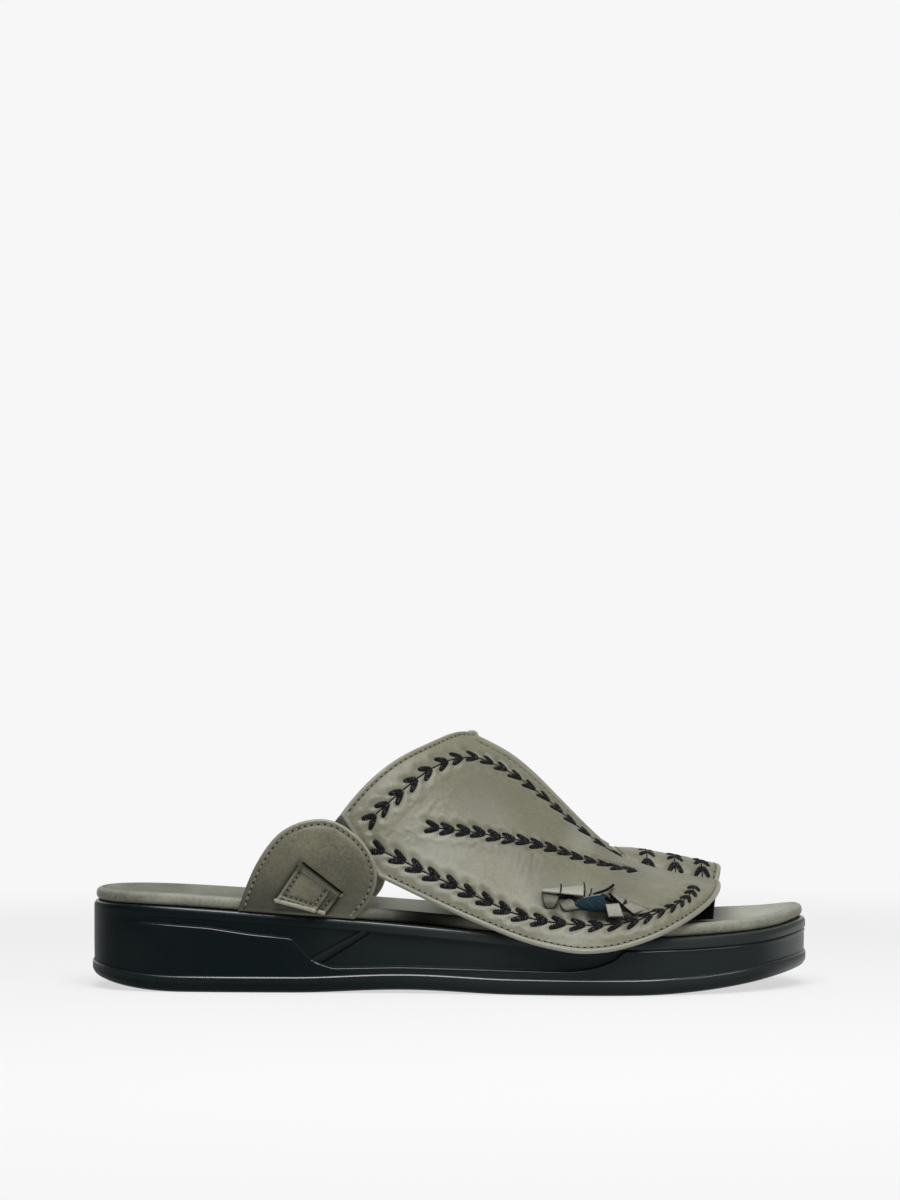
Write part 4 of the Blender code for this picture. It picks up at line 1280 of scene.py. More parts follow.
@dataclass
class Outsole:
    """The moulded sole with lip, set-back band, diagonal rib, foot rim and a plain tread."""

    form: SoleForm
    foot_rim_height: float = 6.0
    foot_rim_proud: float = 0.6
    lean: Triple = (19.3, -33.0, 44.0)
    steps: Pair = (-35.3, -31.3)
    step_width: float = 0.5
    band_below_lip: float = 0.9
    stations: int = 330
    columns: int = 48
    groove: float = 0.5
    front_ease: float = 0.85
    bead: float = 0.3
    ticked_rows: tuple[int, ...] = (1, 6, 11)
    bar: float = 0.95
    paler_rows: Sequence[float] = (0.8, 1.0, 1.0, 1.0, 0.6, 0.6, 0.5, 0.5, 0.6, 0.6, 0.6, 0.6, 0.5, 0.3, 0.0)
    corner_radius: float = 0.5
    tread_pitch: float = 9.0
    tread_depth: float = 1.4
    tread_border: float = 7.0
    side_line: Pairs = (
        # x, height of the line above which the side is set back
        (-150.0, 27.6), (-127.0, 27.3), (-95.0, 25.1), (-78.0, 22.6), (-62.0, 21.1), (-58.0, 16.5),
        (-54.0, 12.2), (-46.0, 9.5), (-19.0, 10.1), (32.0, 9.3), (47.0, 9.2), (55.0, 10.2), (61.0, 12.2),
        (65.0, 14.2), (69.0, 18.2), (150.0, 30.0),
    )

    def set_back(self, x: Array) -> Array:
        """Depth of the band above the side line: it fades in at the heel and is deeper past the bar."""
        first, second = self.steps
        on_bar = soft_step((x - first - 0.1) / 0.5) * soft_step((second - 0.1 - x) / 0.5)
        depth = 0.7 * self.faded(x) + 0.9 * soft_step((x - first) / (second - first)) - self.bar * on_bar
        for step in self.steps:
            depth = depth + self.groove * bell(x - step, 0.45)
        return depth * (1 - self.front_ease * soft_step((x - 69) / 6))

    def masks(self, x: Array) -> dict[str, Array]:
        """Values for the finish over rows and stations: shiny edges, their ticks and how much paler it is, a
        painted reflection on the lip and upper rows that grows towards the toe.
        """
        count = len(self.paler_rows)
        bead = np.isin(np.arange(count), self.ticked_rows)[:, None] * np.ones(len(x))
        bead[6] *= self.faded(x)
        tick = bead * (1 - soft_step((x - 70) / 20))
        for step in self.steps:
            bead[4:6] = np.maximum(bead[4:6], bell(x - step - 0.35, 0.4))
        bead = np.maximum(bead, 0.5 * soft_step((x - 120) / 18))
        # Painted reflection: paler on the lip and upper rows, more towards the toe.
        paler = np.array(self.paler_rows)[:, None] * (0.1 + 0.9 * soft_step((x + 70) / 90))
        repeats = [1] + [4] * (count - 2) + [1]
        values = {"bead": bead, "tick": tick, "wear": paler}
        values = {name: np.repeat(value, repeats, axis=0) for name, value in values.items()}
        for row in self.ticked_rows:
            values["bead"][4 * row] *= 0.1
        return values

    def faded(self, x: Array) -> Array:
        """Share of the side's relief that shows: none round the heel, all of it further on."""
        return soft_step((x + 130) / 14)

    def rows(self, x: Array, line: Reader) -> list[tuple[float, Array, Array]]:
        """Rows of the side from deck to underside: lean share, outward move and height."""
        form = self.form
        most, at, reach = self.lean
        leaned = x - most * wave(x, at, reach)
        edge = np.minimum(line(leaned), form.lip_underside(leaned) - self.band_below_lip)
        rim = form.ground(x) + self.foot_rim_height
        depth, proud, none = -self.set_back(x), form.lip_proud(x), 0 * x
        return [
            (0.0, none - 2.0, form.deck(x)),
            (0.0, proud - 0.7, form.deck(x) - 0.4),
            (0.0, proud, form.deck(x) - 1.8),
            (0.0, proud, form.lip_underside(x) + 0.2),
            (0.0, depth, form.lip_underside(x) - 0.3),
            (1.0, depth, edge + 0.6),
            (1.0, self.bead * self.faded(x), edge + 0.1),
            (1.0, self.bead * self.faded(x), edge - 0.35),
            (1.0, none, edge - 0.9),
            (0.5, none, (edge + rim) / 2),
            (0.0, none - 0.1, rim + 0.5),
            (0.0, none + self.foot_rim_proud, rim - 0.1),
            (0.0, none + self.foot_rim_proud, form.ground(x) + 2.6),
            (0.0, none - 0.5, form.ground(x) + 0.7),
            (0.0, none - 2.0, form.ground(x)),
        ]

    def turns(self) -> Array:
        """Turns of the stations from heel to toe, closer at the steps of the side panel."""
        even = np.linspace(0, math.pi, self.stations)
        near = np.concatenate([step + np.linspace(-0.9, self.step_width + 0.6, 15) for step in self.steps])
        added = self.form.turn_of(near)
        kept = [turn for turn in even if np.abs(added - turn).min() > 0.002]
        return np.sort(np.concatenate([kept, added]))

    def rounded(self, rows: Array) -> Array:
        """Rows of points with each corner between them rounded off."""
        made = [rows[0]]
        for before, corner, after in zip(rows, rows[1:], rows[2:]):
            ends = []
            for other in (before, after):
                span = np.linalg.norm(other - corner, axis=-1, keepdims=True)
                reach = np.minimum(0.45, self.corner_radius / np.maximum(span, 1e-6))
                ends.append(corner + (other - corner) * reach)
            for share in (0.0, 0.33, 0.67, 1.0):
                rest = 1 - share
                made.append(rest**2 * ends[0] + 2 * share * rest * corner + share**2 * ends[1])
        return np.array(made + [rows[-1]])

    def tread(self, points: Array, border: Array) -> Array:
        """Height of shallow waves across the underside, and the covered deck, inside a plain border."""
        waves = points[..., 0] + 3.0 * np.cos(points[..., 1] / 9.0)
        groove = soft_step((np.cos(2 * math.pi * waves / self.tread_pitch) - 0.55) / 0.25)
        return self.tread_depth * groove * soft_step((border - self.tread_border) / 1.0)

    def build(self, finish: Material) -> None:
        """Builds and dresses the sole."""
        form = self.form
        loop = form.loop(self.turns())
        x = form.outline(loop)[:, 0]
        most, at, reach = self.lean
        line = straight_through(self.side_line, 1.6)
        rows = []
        for share, outward, z in self.rows(x, line):
            leaned = form.turn_of(x - share * most * wave(x, at, reach))
            plan = form.outline_moved(np.where(loop <= math.pi, leaned, 2 * math.pi - leaned), outward)
            rows.append(np.column_stack([plan, z]))
        made = Shape()
        numbers = made.add(self.rounded(np.array(rows)), **self.masks(x))
        made.quads(numbers, closed=True)
        for row in (numbers[0], numbers[-1]):
            outer, inner, inside = made.between(row, self.columns)
            points = np.concatenate(made.points)
            border = np.concatenate([points[outer], points[inner][::-1]])
            inside[..., 2] += self.tread(inside, nearest(border, inside, 1.0))
            made.close(outer, inner, inside)
        place(made.object("outsole_moulding", 50.0), finish, Slot.OUTSOLE, "outsole")


@dataclass
class Insole:
    """The padded footbed with a rounded rim and a dished face."""

    form: SoleForm
    stations: int = 170
    columns: int = 56
    under_columns: int = 4
    rim_rows: int = 18

    def build(self, finish: Material) -> None:
        """Builds and dresses the footbed."""
        form = self.form
        loop = form.loop(np.linspace(0, math.pi, self.stations))
        x = form.outline(loop)[:, 0]
        # inset from the side's outermost line and height above the deck, from the foot up
        foot, top = (0.9, form.clearance), (form.insole_rim, form.insole_height)
        profile = np.array([foot, (0.15, 1.3), (0.0, 2.6), (0.55, 4.2), top])
        length = run_length(profile)
        side = curve_through(length / length[-1], profile)
        rows = []
        for share in np.linspace(0, 1, self.rim_rows):
            inset, height = side(share)
            plan = form.outline_moved(loop, -form.insole_edge(x) - inset)
            swell = 0.12 * rolling(np.column_stack([plan, 0 * x]), 34.0, 5) * math.sin(math.pi * share)
            rows.append(np.column_stack([plan, form.deck(x) + height + swell]))
        made = Shape()
        # Painted highlight along the upper part of the rim.
        rim_highlight = wave(np.linspace(0, 1, self.rim_rows), 0.75, 0.4)[:, None] * 0.35
        under_panel = wave(x, -10.0, 36.0) * (loop < math.pi)
        numbers = made.add(np.array(rows), wear=rim_highlight, shade=under_panel[None, :])
        made.quads(numbers, closed=True)
        made.close(*made.between(numbers[0], self.under_columns))
        self.add_face(made, numbers[-1])
        piece = place(made.object("footbed", 60.0), finish, Slot.INSOLE, "insole")

    def add_face(self, made: Shape, row: Array) -> None:
        """Closes the top with the dished face, with painted shade in its hollow and painted light where light
        falls in, at the toe and in the open middle.

        Args:
            made: mesh that takes the face.
            row: numbers of the rim's top points.
        """
        outer, inner, inside = made.between(row, self.columns)
        points = np.concatenate(made.points)
        width = np.linalg.norm(points[inner[1:-1]] - points[outer[1:-1]], axis=-1)
        shares = np.linspace(0, 1, self.columns + 1)[1:-1, None]
        taper = np.minimum(1.0, width / 40)[None, :]
        inside[..., 2] -= taper * self.form.dish(shares)
        inside[..., 2] += 0.1 * taper * rolling(inside, 40.0, 8)
        along = inside[..., 0]
        hollow = np.sin(math.pi * shares) ** 0.7
        open_middle, toe = wave(along, -10.0, 30.0), soft_step((along - 100) / 25)
        dent = 0.85 * hollow * (1 - soft_step((along - 95) / 25)) * (1 - open_middle)
        made.close(outer, inner, inside, dent=dent, wear=np.maximum(0.7 * toe, 0.9 * open_middle))


@dataclass
class CreaseFan:
    """Fine creases that run side by side, from points between two starts to points between two ends."""

    starts: tuple[Pair, Pair]
    ends: tuple[Pair, Pair]
    count: int
    depth: float
    width: float = 0.8

    def lines(self, seed: int) -> list[Array]:
        """Side-view points of each crease, a little uneven in place and length."""
        draw = np.random.default_rng(seed)
        made = []
        for share in np.linspace(0, 1, self.count):
            start = np.add(self.starts[0], share * np.subtract(*self.starts[::-1]))
            end = np.add(self.ends[0], share * np.subtract(*self.ends[::-1]))
            first, last = draw.uniform(-0.1, 0.3), draw.uniform(0.65, 1.1)
            along = np.linspace(first, last, 8)[:, None]
            bow = draw.normal(0, 0.5) * np.sin(math.pi * np.linspace(0, 1, 8))[:, None]
            made.append(start + along * (end - start) + bow)
        return made


@dataclass
class InstepPanel:
    """The leaf panel: outer half with its tip, lapped at the crest over the inner half."""

    foot: FootForm
    stitching: Stitching
    crest_lap: float = 0.03
    crest_back_x: float = 8.4
    crest_front_x: float = 62.5
    crest_front_share: float = 15 / 22
    tip_x: float = 108.4
    inner_wall: float = 1.8
    lap_reach: float = 7.0
    flare: float = 1.6
    flare_reach: float = 17.0
    steps: tuple[int, int] = (290, 210)
    inner_steps: tuple[int, int] = (170, 146)
    outer_back: Pairs = (TAIL_TOP[OUTER], (-31.0, 85.0), (-19.0, 94.0), (-7.6, 99.4))
    inner_back: Pairs = ((-7.6, 95.4), (-19.0, 88.4), (-31.0, 79.4), TAIL_TOP[INNER])
    outer_lower: Pairs = (
        # x, z from the tail round the wing to the tip
        TAIL_BOTTOM,
        (-3.5, 34.0), (19.7, 24.0), (31.0, 19.9), (42.9, 17.2), (50.6, 16.3), (58.4, 16.8), (70.0, 19.4),
        (81.8, 23.6), (93.8, 30.0), (102.0, 35.6),
    )
    inner_lower: Pairs = (
        # x, z from the crest's front end down the wing to the tail
        (60.6, 47.0), (57.6, 38.0), (53.4, 28.6), (47.5, 20.8), (40.0, 18.4), (30.0, 20.6), (19.0, 24.6),
        (-3.5, 34.4),
        TAIL_BOTTOM,
    )
    # Pixels of the photo where each leaf pair's vertex shows, from back to front
    upper_line: Pairs = (
        (374, 815), (387, 803), (401, 791), (415.5, 779), (430, 769), (446, 761), (461, 757.5), (477, 757.5),
        (492, 763), (506, 770), (520, 779), (534, 789.6), (548, 801), (561, 813), (574.5, 824.5), (589, 836),
        (604, 847), (620, 857),
    )
    middle_line: Pairs = (
        (438, 828), (453, 830), (469, 831.6), (484, 834), (499.5, 837.5), (514, 839.6), (528, 842),
        (542, 846), (556, 849.5), (569, 854), (581.6, 858.4), (595, 862), (608, 865.5), (621, 869),
        (635, 871),
    )
    lower_line: Pairs = (
        (383, 852), (404, 862), (421, 871), (438, 879), (456, 887), (473.6, 896), (491.4, 904), (509, 912.5),
        (527, 918), (546, 922), (564.6, 924), (584, 925.5), (601.6, 925.5), (620, 924), (636.8, 921),
        (650.7, 916), (663, 911), (674, 906), (682, 901), (687.5, 896), (691.5, 890.5), (693.5, 886),
    )
    inner_counts: tuple[int, int, int] = (12, 7, 8)
    inner_drop: float = 4.0
    creases: Sequence[CreaseFan] = (
        CreaseFan(((-24.0, 62.5), (-13.0, 60.0)), ((-10.0, 77.0), (-2.0, 72.0)), 9, 0.12),
        CreaseFan(((-17.0, 73.0), (-9.0, 69.0)), ((-6.0, 83.0), (1.0, 78.0)), 6, 0.09),
        CreaseFan(((5.5, 45.0), (16.0, 41.0)), ((9.5, 59.5), (17.5, 58.5)), 8, 0.12),
        CreaseFan(((-6.0, 50.0), (3.0, 46.0)), ((-2.5, 60.5), (6.0, 59.5)), 5, 0.09),
        CreaseFan(((20.0, 38.0), (32.0, 36.0)), ((26.0, 55.0), (35.0, 52.0)), 5, 0.09),
        CreaseFan(((58.0, 39.0), (60.0, 44.0)), ((73.0, 40.5), (74.0, 43.5)), 4, 0.1),
    )
    painted_tones: Spots = (
        # x, z in the side view, reach and how much paler (painted sheen) or darker (painted shade) the
        # leather is there
        (15.0, 76.0, 30.0, -0.9),
        (67.0, 43.0, 20.0, -0.7),
        (39.0, 39.0, 13.0, -0.75),
        (31.0, 50.0, 14.0, -0.45),
        (62.0, 38.0, 10.0, -0.4),
        (-8.0, 93.0, 11.0, -0.4),
        (-34.0, 72.0, 12.0, -0.4),
        (-6.0, 54.0, 27.0, 0.75),
        (52.0, 58.0, 12.0, 0.5),
    )
    shadows: Spots = (
        # x, z in the side view, reach and depth of the soft shade under the knot
        (41.0, 33.2, 5.0, 0.6),
        (48.0, 32.2, 6.0, 0.75),
        (55.0, 31.6, 6.5, 0.95),
        (61.0, 31.2, 6.5, 0.95),
        (68.0, 30.4, 6.0, 0.85),
        (73.0, 30.8, 5.0, 0.6),
        (47.0, 37.6, 5.0, 0.9),
        (35.0, 37.0, 4.0, 0.35),
    )

    def patches(self, points: Array, table: Spots) -> Array:
        """Sum of a table's round soft patches, placed in the side view."""
        total = np.zeros(points.shape[:-1])
        for x, z, reach, amount in table:
            total += amount * soft_step(1 - np.hypot(points[..., 0] - x, points[..., 2] - z) / reach)
        return total

    def crest(self) -> Reader:
        """The lapped edge from the crest's back end to the tip."""
        shares = (0.0, self.crest_front_share, 1.0)
        places = (self.crest_back_x, self.crest_front_x, self.tip_x)

        def read(share: Array) -> Array:
            """Pairs of x and girth at a share of the edge."""
            x = np.interp(share, shares, places)
            lap = self.crest_lap * np.clip((self.crest_front_x + 4 - x) / 10, 0, 1)
            return np.stack([x, lap], axis=-1)

        return read

    def edges(self, side: int) -> tuple[Reader, Reader, Reader, Reader]:
        """Back, lower, tail and crest edge of a half, each read by its share of length."""
        foot, crest = self.foot, self.crest()
        top = (self.crest_back_x, self.crest_lap)
        if side == OUTER:
            back = foot.run_through(foot.on_side(self.outer_back, side) + [top])
            lower = foot.run_through(foot.on_side(self.outer_lower, side) + [(self.tip_x, 0.0)])
            tail = foot.run_through(foot.on_side([self.outer_back[0], self.outer_lower[0]], side))
            return back, lower, tail, crest
        front = tuple(crest(self.crest_front_share))
        back = foot.run_through([top] + foot.on_side(self.inner_back, side))
        lower = foot.run_through([front] + foot.on_side(self.inner_lower, side))
        tail = foot.run_through(foot.on_side([self.inner_back[-1], self.inner_lower[-1]], side))
        return back, lower, tail, lambda share: crest(np.asarray(share) * self.crest_front_share)

    def seen_places(self, pixels: Pairs) -> Array:
        """Side-view places on the outer face that the photo shows at these pixels.

        Args:
            pixels: places in the photo, across and down.

        Returns:
            A row of x and z for each.
        """
        foot, rounds = self.foot, 8
        off_middle = (np.array(pixels, float) - PHOTO_MIDDLE) * (1, -1) / (PHOTO_HEIGHT * LENS / SENSOR)
        depth = np.zeros(len(off_middle))
        for _ in range(rounds):
            seen = (CAMERA_AT[0], CAMERA_AT[2]) + off_middle * (depth - CAMERA_AT[1])[:, None]
            depth = foot.seen_at(*seen.T, OUTER, foot.wall)[:, 1]
        return seen

    def line_path(self, line: Array, side: int, lift: float) -> Array:
        """A stitched line as coordinates, with PAIR_STEPS steps from one leaf pair to the next."""
        last = len(line) - 1
        dense = np.linspace(0, last, PAIR_STEPS * last + 1)
        x, z = curve_through(np.arange(last + 1), line)(dense).T
        return self.foot.face_at(x, z, side, lift)

    def creased(self, points: Array, side: int, lift: float) -> Array:
        """Height of the listed creases at points of the face."""
        height = np.zeros(points.shape[:-1])
        for seed, fan in enumerate(self.creases):
            for seen in fan.lines(seed):
                line = self.foot.seen_at(*seen.T, side, lift)
                away = np.min([to_segment(points, a, b) for a, b in zip(line, line[1:])], axis=0)
                height += fan.depth * (0.5 * bell(away - 1.5, 0.8) - bell(away, fan.width))
        return height

    def build_half(self, side: int, finish: Material, thread: "Threads") -> None:
        """Builds one half with its stitches and stitched leaf lines.

        Args:
            side: outer or inner half.
            finish: the leather.
            thread: collects stitches and leaf pairs.
        """
        foot, outer = self.foot, side == OUTER
        wall = foot.wall if outer else self.inner_wall
        back, lower, tail, crest = self.edges(side)
        patch = coons(back, lower, tail, crest) if outer else coons(back, lower, crest, tail)
        grid = rimmed_grid(foot.surface, patch, *(self.steps if outer else self.inner_steps))
        face, share = Face(foot.surface, wall), np.linspace(0, 1, 500)
        points = face.at(grid)
        to_lap = soft_step(1 - nearest(face.at(crest(share)), points, 0.5) / self.lap_reach)
        to_edge = 1 - nearest(face.at(lower(share)), points, 0.5) / self.flare_reach
        flare = self.flare * np.clip(to_edge, 0, 1) ** 2 * soft_step((100 - grid[..., 0]) / 22)
        low = flare + (0.75 * to_lap if outer else 0.0)
        half = Wall(foot.surface, grid, low, wall + flare)
        # edge, share of the stitches' inset, lengths without stitches at its start and end
        runs = [(back, -1.0, (3.0, 1.4)), (lower, 1.0, (2.5, 0.4 if outer else 3.0))]
        if outer:
            runs.append((crest, -2.4, (1.4, 0.4)))
        stitches = [self.stitching.path(face, edge(share), turn, trim) for edge, turn, trim in runs]
        leaves = self.leaf_lines(side, face)
        relief, dent = self.relief(half, stitches, leaves, side, wall)
        tone = self.patches(half.face, self.painted_tones)
        shade = np.clip(self.patches(half.face, self.shadows), 0, 0.9) * outer
        # Rubbed edges and painted sheen make it paler; painted shade lies in the puckers, troughs and dark
        # patches, and a soft painted shadow under the knot.
        pale = np.maximum(soft_step(1 - half.edge / 2.4), np.clip(tone, 0, 1))
        made = half.shape(relief, wear=pale, dent=np.maximum(dent, np.clip(-tone, 0, 1)), shade=shade)
        if outer:
            self.add_nub(made)
        name = "panel_outer_half" if outer else "panel_inner_half"
        place(made.object(name, 50.0), finish, Slot.UPPER, "upper")
        thread.add_stitches(name, stitches, half.seat())
        thread.add_leaves(name, leaves, half.seat())

    def add_nub(self, made: Shape) -> None:
        """Adds the pinched end of the crest seam, which stands up a little over the back edge."""
        x = self.crest_back_x + np.array([-2.0, -1.0, 0.0, 0.8, 1.6])
        rise = np.array([-0.2, 0.5, 1.0, 0.8, -0.2])
        add_cord(made, self.foot.surface(x, self.crest_lap, self.foot.wall + rise), 0.75, 9, wear=0.8)

    def leaf_lines(self, side: int, face: Face) -> Leaves:
        """The stitched leaf lines of a half; the inner half has the start of each, a little lower."""
        sizes = (
            ChevronLine(7.0, (6.3, 5.6), 27.0, 2.5),
            ChevronLine(6.0, (6.2, 6.0), 23.0, 2.6),
            ChevronLine(7.4, (6.8, 6.4), 24.0, 2.7),
        )
        lines = [self.seen_places(line) for line in (self.upper_line, self.middle_line, self.lower_line)]
        if side == INNER:
            lines = [line[:count] - (0, self.inner_drop) for line, count in zip(lines, self.inner_counts)]
        paths = [self.line_path(line, side, face.lift) for line in lines]
        return [(size, size.along(face, path)) for size, path in zip(sizes, paths)]

    def relief(
        self, half: Wall, stitches: Sequence[Array], leaves: Leaves, side: int, wall: float
    ) -> tuple[Array, Array]:
        """Padded relief of a half: stitch troughs, puckers round the leaf pairs, creases and soft waves.

        Args:
            half: the half's wall.
            stitches: its stitch lines.
            leaves: its lines of leaf pairs.
            side: outer or inner half.
            wall: the wall's thickness.

        Returns:
            Heights over the face, and how much painted shade lies on each point from 0 to 1, in the puckers
            and stitch troughs.
        """
        points = half.face
        relief = 0.14 * rolling(points, 34.0, 3) + 0.02 * rolling(points, 9.0, 4)
        relief += 0.35 * soft_step((half.edge - 2.2) / 4.0)
        relief += self.creased(points, side, wall)
        away = from_arms(points, leaves)
        for _, chevrons in leaves:
            for first, second in zip(chevrons, chevrons[1:]):
                away = np.minimum(away, 0.45 + to_segment(points, first.vertex, second.vertex))
        pucker = bell(away, 1.4)
        relief += 0.26 * bell(away - 3.0, 1.5) - 0.5 * pucker
        trough = self.stitching.relief(stitches, points)
        relief += trough + 0.2 * bell(half.edge - 0.9, 0.7)
        # Painted shade in the puckers round the leaf pairs and in the stitch troughs.
        dent = 0.5 * pucker**2 - 0.6 * trough / self.stitching.trough_depth
        return relief * soft_step(half.edge / 0.8), dent

    def build(self, finish: Material, thread: "Threads") -> None:
        """Builds both halves."""
        self.build_half(OUTER, finish, thread)
        self.build_half(INNER, finish, thread)


class Threads:
    """Collects stitches and stitched leaf pairs and makes them into joined pieces."""

    def __init__(self, stitching: Stitching, black: Material, edge: Material) -> None:
        """Keeps the sizes and finishes."""
        self.stitching, self.black, self.edge = stitching, black, edge

    def add_stitches(self, name: str, lines: Sequence[Array], seat: Seat) -> None:
        """Makes the stitches along lines on a face into one piece.

        Args:
            name: the stitched piece's name.
            lines: stitch lines.
            seat: lays points on the stitched face.
        """
        made = Shape()
        for line in lines:
            self.stitching.add(made, line, seat)
        place(made.object(name + "_stitches", 60.0), self.edge, None)

    def add_leaves(self, name: str, lines: Leaves, seat: Seat) -> None:
        """Makes each line of leaf pairs into one piece."""
        for index, (size, chevrons) in enumerate(lines):
            place(size.mesh(chevrons, f"{name}_leaf_line_{index + 1}", seat), self.black, None)


@dataclass
class SideTab:
    """A slotted side tab and the strap tail that threads it."""

    foot: FootForm
    stitching: Stitching
    side: int
    wall: float = 1.8
    gap: float = 0.4
    inner_share: float = 0.86
    inner_shift: float = 2.5
    steps: tuple[int, int] = (114, 130)
    tail_wall: float = 1.6
    ply_wall: float = 1.3
    ply_share: float = 0.8
    slit_open: float = 2.2
    slit_lead: float = 0.9
    slit_slack: float = 0.4
    dark_below: float = 64.0
    dark_reach: float = 34.0
    dark_back: float = -50.0
    strap_steps: tuple[int, int] = (54, 78)
    # x and height above the deck along each edge
    back_edge: Pairs = ((-83.0, 0.0), (-78.6, 13.0), (-73.0, 24.2), (-66.4, 32.4), (-58.6, 37.0))
    top_edge: Pairs = ((-58.6, 37.0), (-50.0, 38.6), (-42.0, 36.6), (-35.6, 32.4))
    front_edge: Pairs = (
        (-37.0, 0.0), (-32.0, 5.6), (-28.6, 13.0), (-28.2, 20.0), (-31.0, 27.0), (-35.6, 32.4),
    )
    tail_at_slit: tuple[Pair, Pair] = ((-58.5, 51.4), (-42.3, 39.0))
    tail_at_end: tuple[Pair, Pair] = ((-68.4, 36.2), (-48.7, 31.2))

    @property
    def name(self) -> str:
        """The tab's node."""
        return "tab_outer" if self.side == OUTER else "tab_inner"

    def edge(self, rows: Pairs) -> Reader:
        """An edge of the tab; the inner tab is lower."""
        tall = 1.0 if self.side == OUTER else self.inner_share
        sole = self.foot.sole
        shift = 0.0 if self.side == OUTER else self.inner_shift
        moved = [(x + shift, rise) for x, rise in rows]
        heights = [(x, float(sole.deck(x)) + sole.clearance + tall * rise) for x, rise in moved]
        return self.foot.run_through(self.foot.on_side(heights, self.side))

    def axes(self) -> tuple[Array, Array, Array]:
        """Middle, run and square of the slit in the side view; the square points up and forward."""
        upper, lower = np.array(self.tail_at_slit, float)
        run = unit(lower - upper)
        return (upper + lower) / 2, run, np.array([-run[1], run[0]])

    def cutter(self) -> Piece:
        """A slab through the tab, a little longer and wider than the strap."""
        middle, run, square = self.axes()
        middle = middle + square * (self.slit_lead - self.slit_open / 2)
        lift = self.foot.wall + self.gap + self.wall / 2

        def at(point: Array, height: float) -> Array:
            """Point over the last at a side-view place."""
            return self.foot.surface(point[0], self.foot.girth_at(point[0], point[1], self.side), height)

        centre = at(middle, lift)
        along = unit(at(middle + run, lift) - at(middle - run, lift))
        up = unit(at(middle, lift + 1) - centre)
        across = np.cross(up, along)
        length = np.linalg.norm(np.subtract(*self.tail_at_slit)) / 2 + self.slit_slack
        width = self.slit_open / 2
        corners = ((-1, -1), (1, -1), (1, 1), (-1, 1))
        ring = np.array([a * length * along + b * width * across for a, b in corners])
        made = Shape()
        made.tube(np.array([centre + ring + depth * up for depth in (-5, 5)]))
        return made.object(self.name + "_slit")

    def build(self, finish: Material, thread: Threads) -> None:
        """Builds the tab with its slit and stitches, and the strap tail."""
        foot, surface = self.foot, self.foot.surface
        low, high = foot.wall + self.gap, foot.wall + self.gap + self.wall
        foot_x = np.linspace(self.back_edge[0][0], self.front_edge[0][0], 7)
        back, top, front = (self.edge(rows) for rows in (self.back_edge, self.top_edge, self.front_edge))
        base = self.edge([(x, 0.0) for x in foot_x])
        tab = Wall(surface, rimmed_grid(surface, coons(back, front, base, top), *self.steps), low, high, 0.9)
        share = np.linspace(0, 1, 300)
        rim = np.concatenate([back(share), top(share)[1:], front(share)[-2::-1]])
        turn = -1 if self.side == OUTER else 1
        line = self.stitching.path(Face(surface, high), rim, turn, (1.0, 1.0))
        trough = self.stitching.relief([line], tab.face)
        relief = trough + 0.1 * rolling(tab.face, 22.0, 11)
        relief += 0.22 * soft_step((tab.edge - 2.3) / 3.0) + 0.16 * bell(tab.edge - 0.9, 0.6)
        # Painted shade: darker towards the bottom and the back, and round the strap's outline.
        dark = 0.85 * soft_step((self.dark_below - tab.face[..., 2]) / self.dark_reach)
        dark += 0.25 * soft_step((self.dark_back - tab.face[..., 0]) / 25)
        dent = np.maximum(dark, -0.6 * trough / self.stitching.trough_depth)
        corners = (self.tail_at_slit[0], self.tail_at_end[0], self.tail_at_end[1], self.tail_at_slit[1])
        outline = [np.array(corner) for corner in corners]
        seen = tab.face[..., (0, 2)]
        away = np.min([to_segment(seen, a, b) for a, b in zip(outline, outline[1:])], axis=0)
        masks = {"wear": soft_step(1 - tab.edge / 2.2), "dent": dent, "shade": 0.75 * bell(away, 1.3)}
        made = tab.shape(relief * soft_step(tab.edge / 0.8), **masks)
        piece = made.object(self.name + "_leather", 50.0)
        self.cut(piece)
        place(piece, finish, Slot.TAB, self.name)
        thread.add_stitches(self.name, [line], tab.seat())
        self.build_strap(finish, thread)

    def cut(self, piece: Piece) -> None:
        """Cuts the slit into the tab's mesh."""
        cutter = self.cutter()
        slit = piece.modifiers.new("slit", "BOOLEAN")
        slit.operation = "DIFFERENCE"
        slit.object = cutter
        shaped = piece.evaluated_get(bpy.context.evaluated_depsgraph_get())
        mesh = bpy.data.meshes.new_from_object(shaped)
        piece.modifiers.clear()
        piece.data = mesh
        mesh.set_sharp_from_angle(angle=math.radians(50))
        bpy.data.objects.remove(cutter)

    def strap_rows(self) -> tuple[Array, Array, Array]:
        """Upper and lower corners and lift of the strap at its stops, from behind the tab to its free end."""
        _, _, square = self.axes()
        upper, lower = np.array(self.tail_at_slit)
        top, bottom = np.array(TAIL_TOP[self.side]), np.array(TAIL_BOTTOM)
        enter, leave = square * 0.4, square * -0.9
        outside = self.foot.wall + self.gap + self.wall
        ends = np.array(self.tail_at_end)
        uppers, lowers = (
            np.array([start, (start + slit) / 2, slit + enter, slit + leave, (slit + leave + end) / 2, end])
            for start, slit, end in ((top, upper, ends[0]), (bottom, lower, ends[1]))
        )
        lifts = [0.4, 0.2, 1.6, outside - 0.3, outside + 0.2, outside + 0.3]
        return uppers, lowers, np.array(lifts)

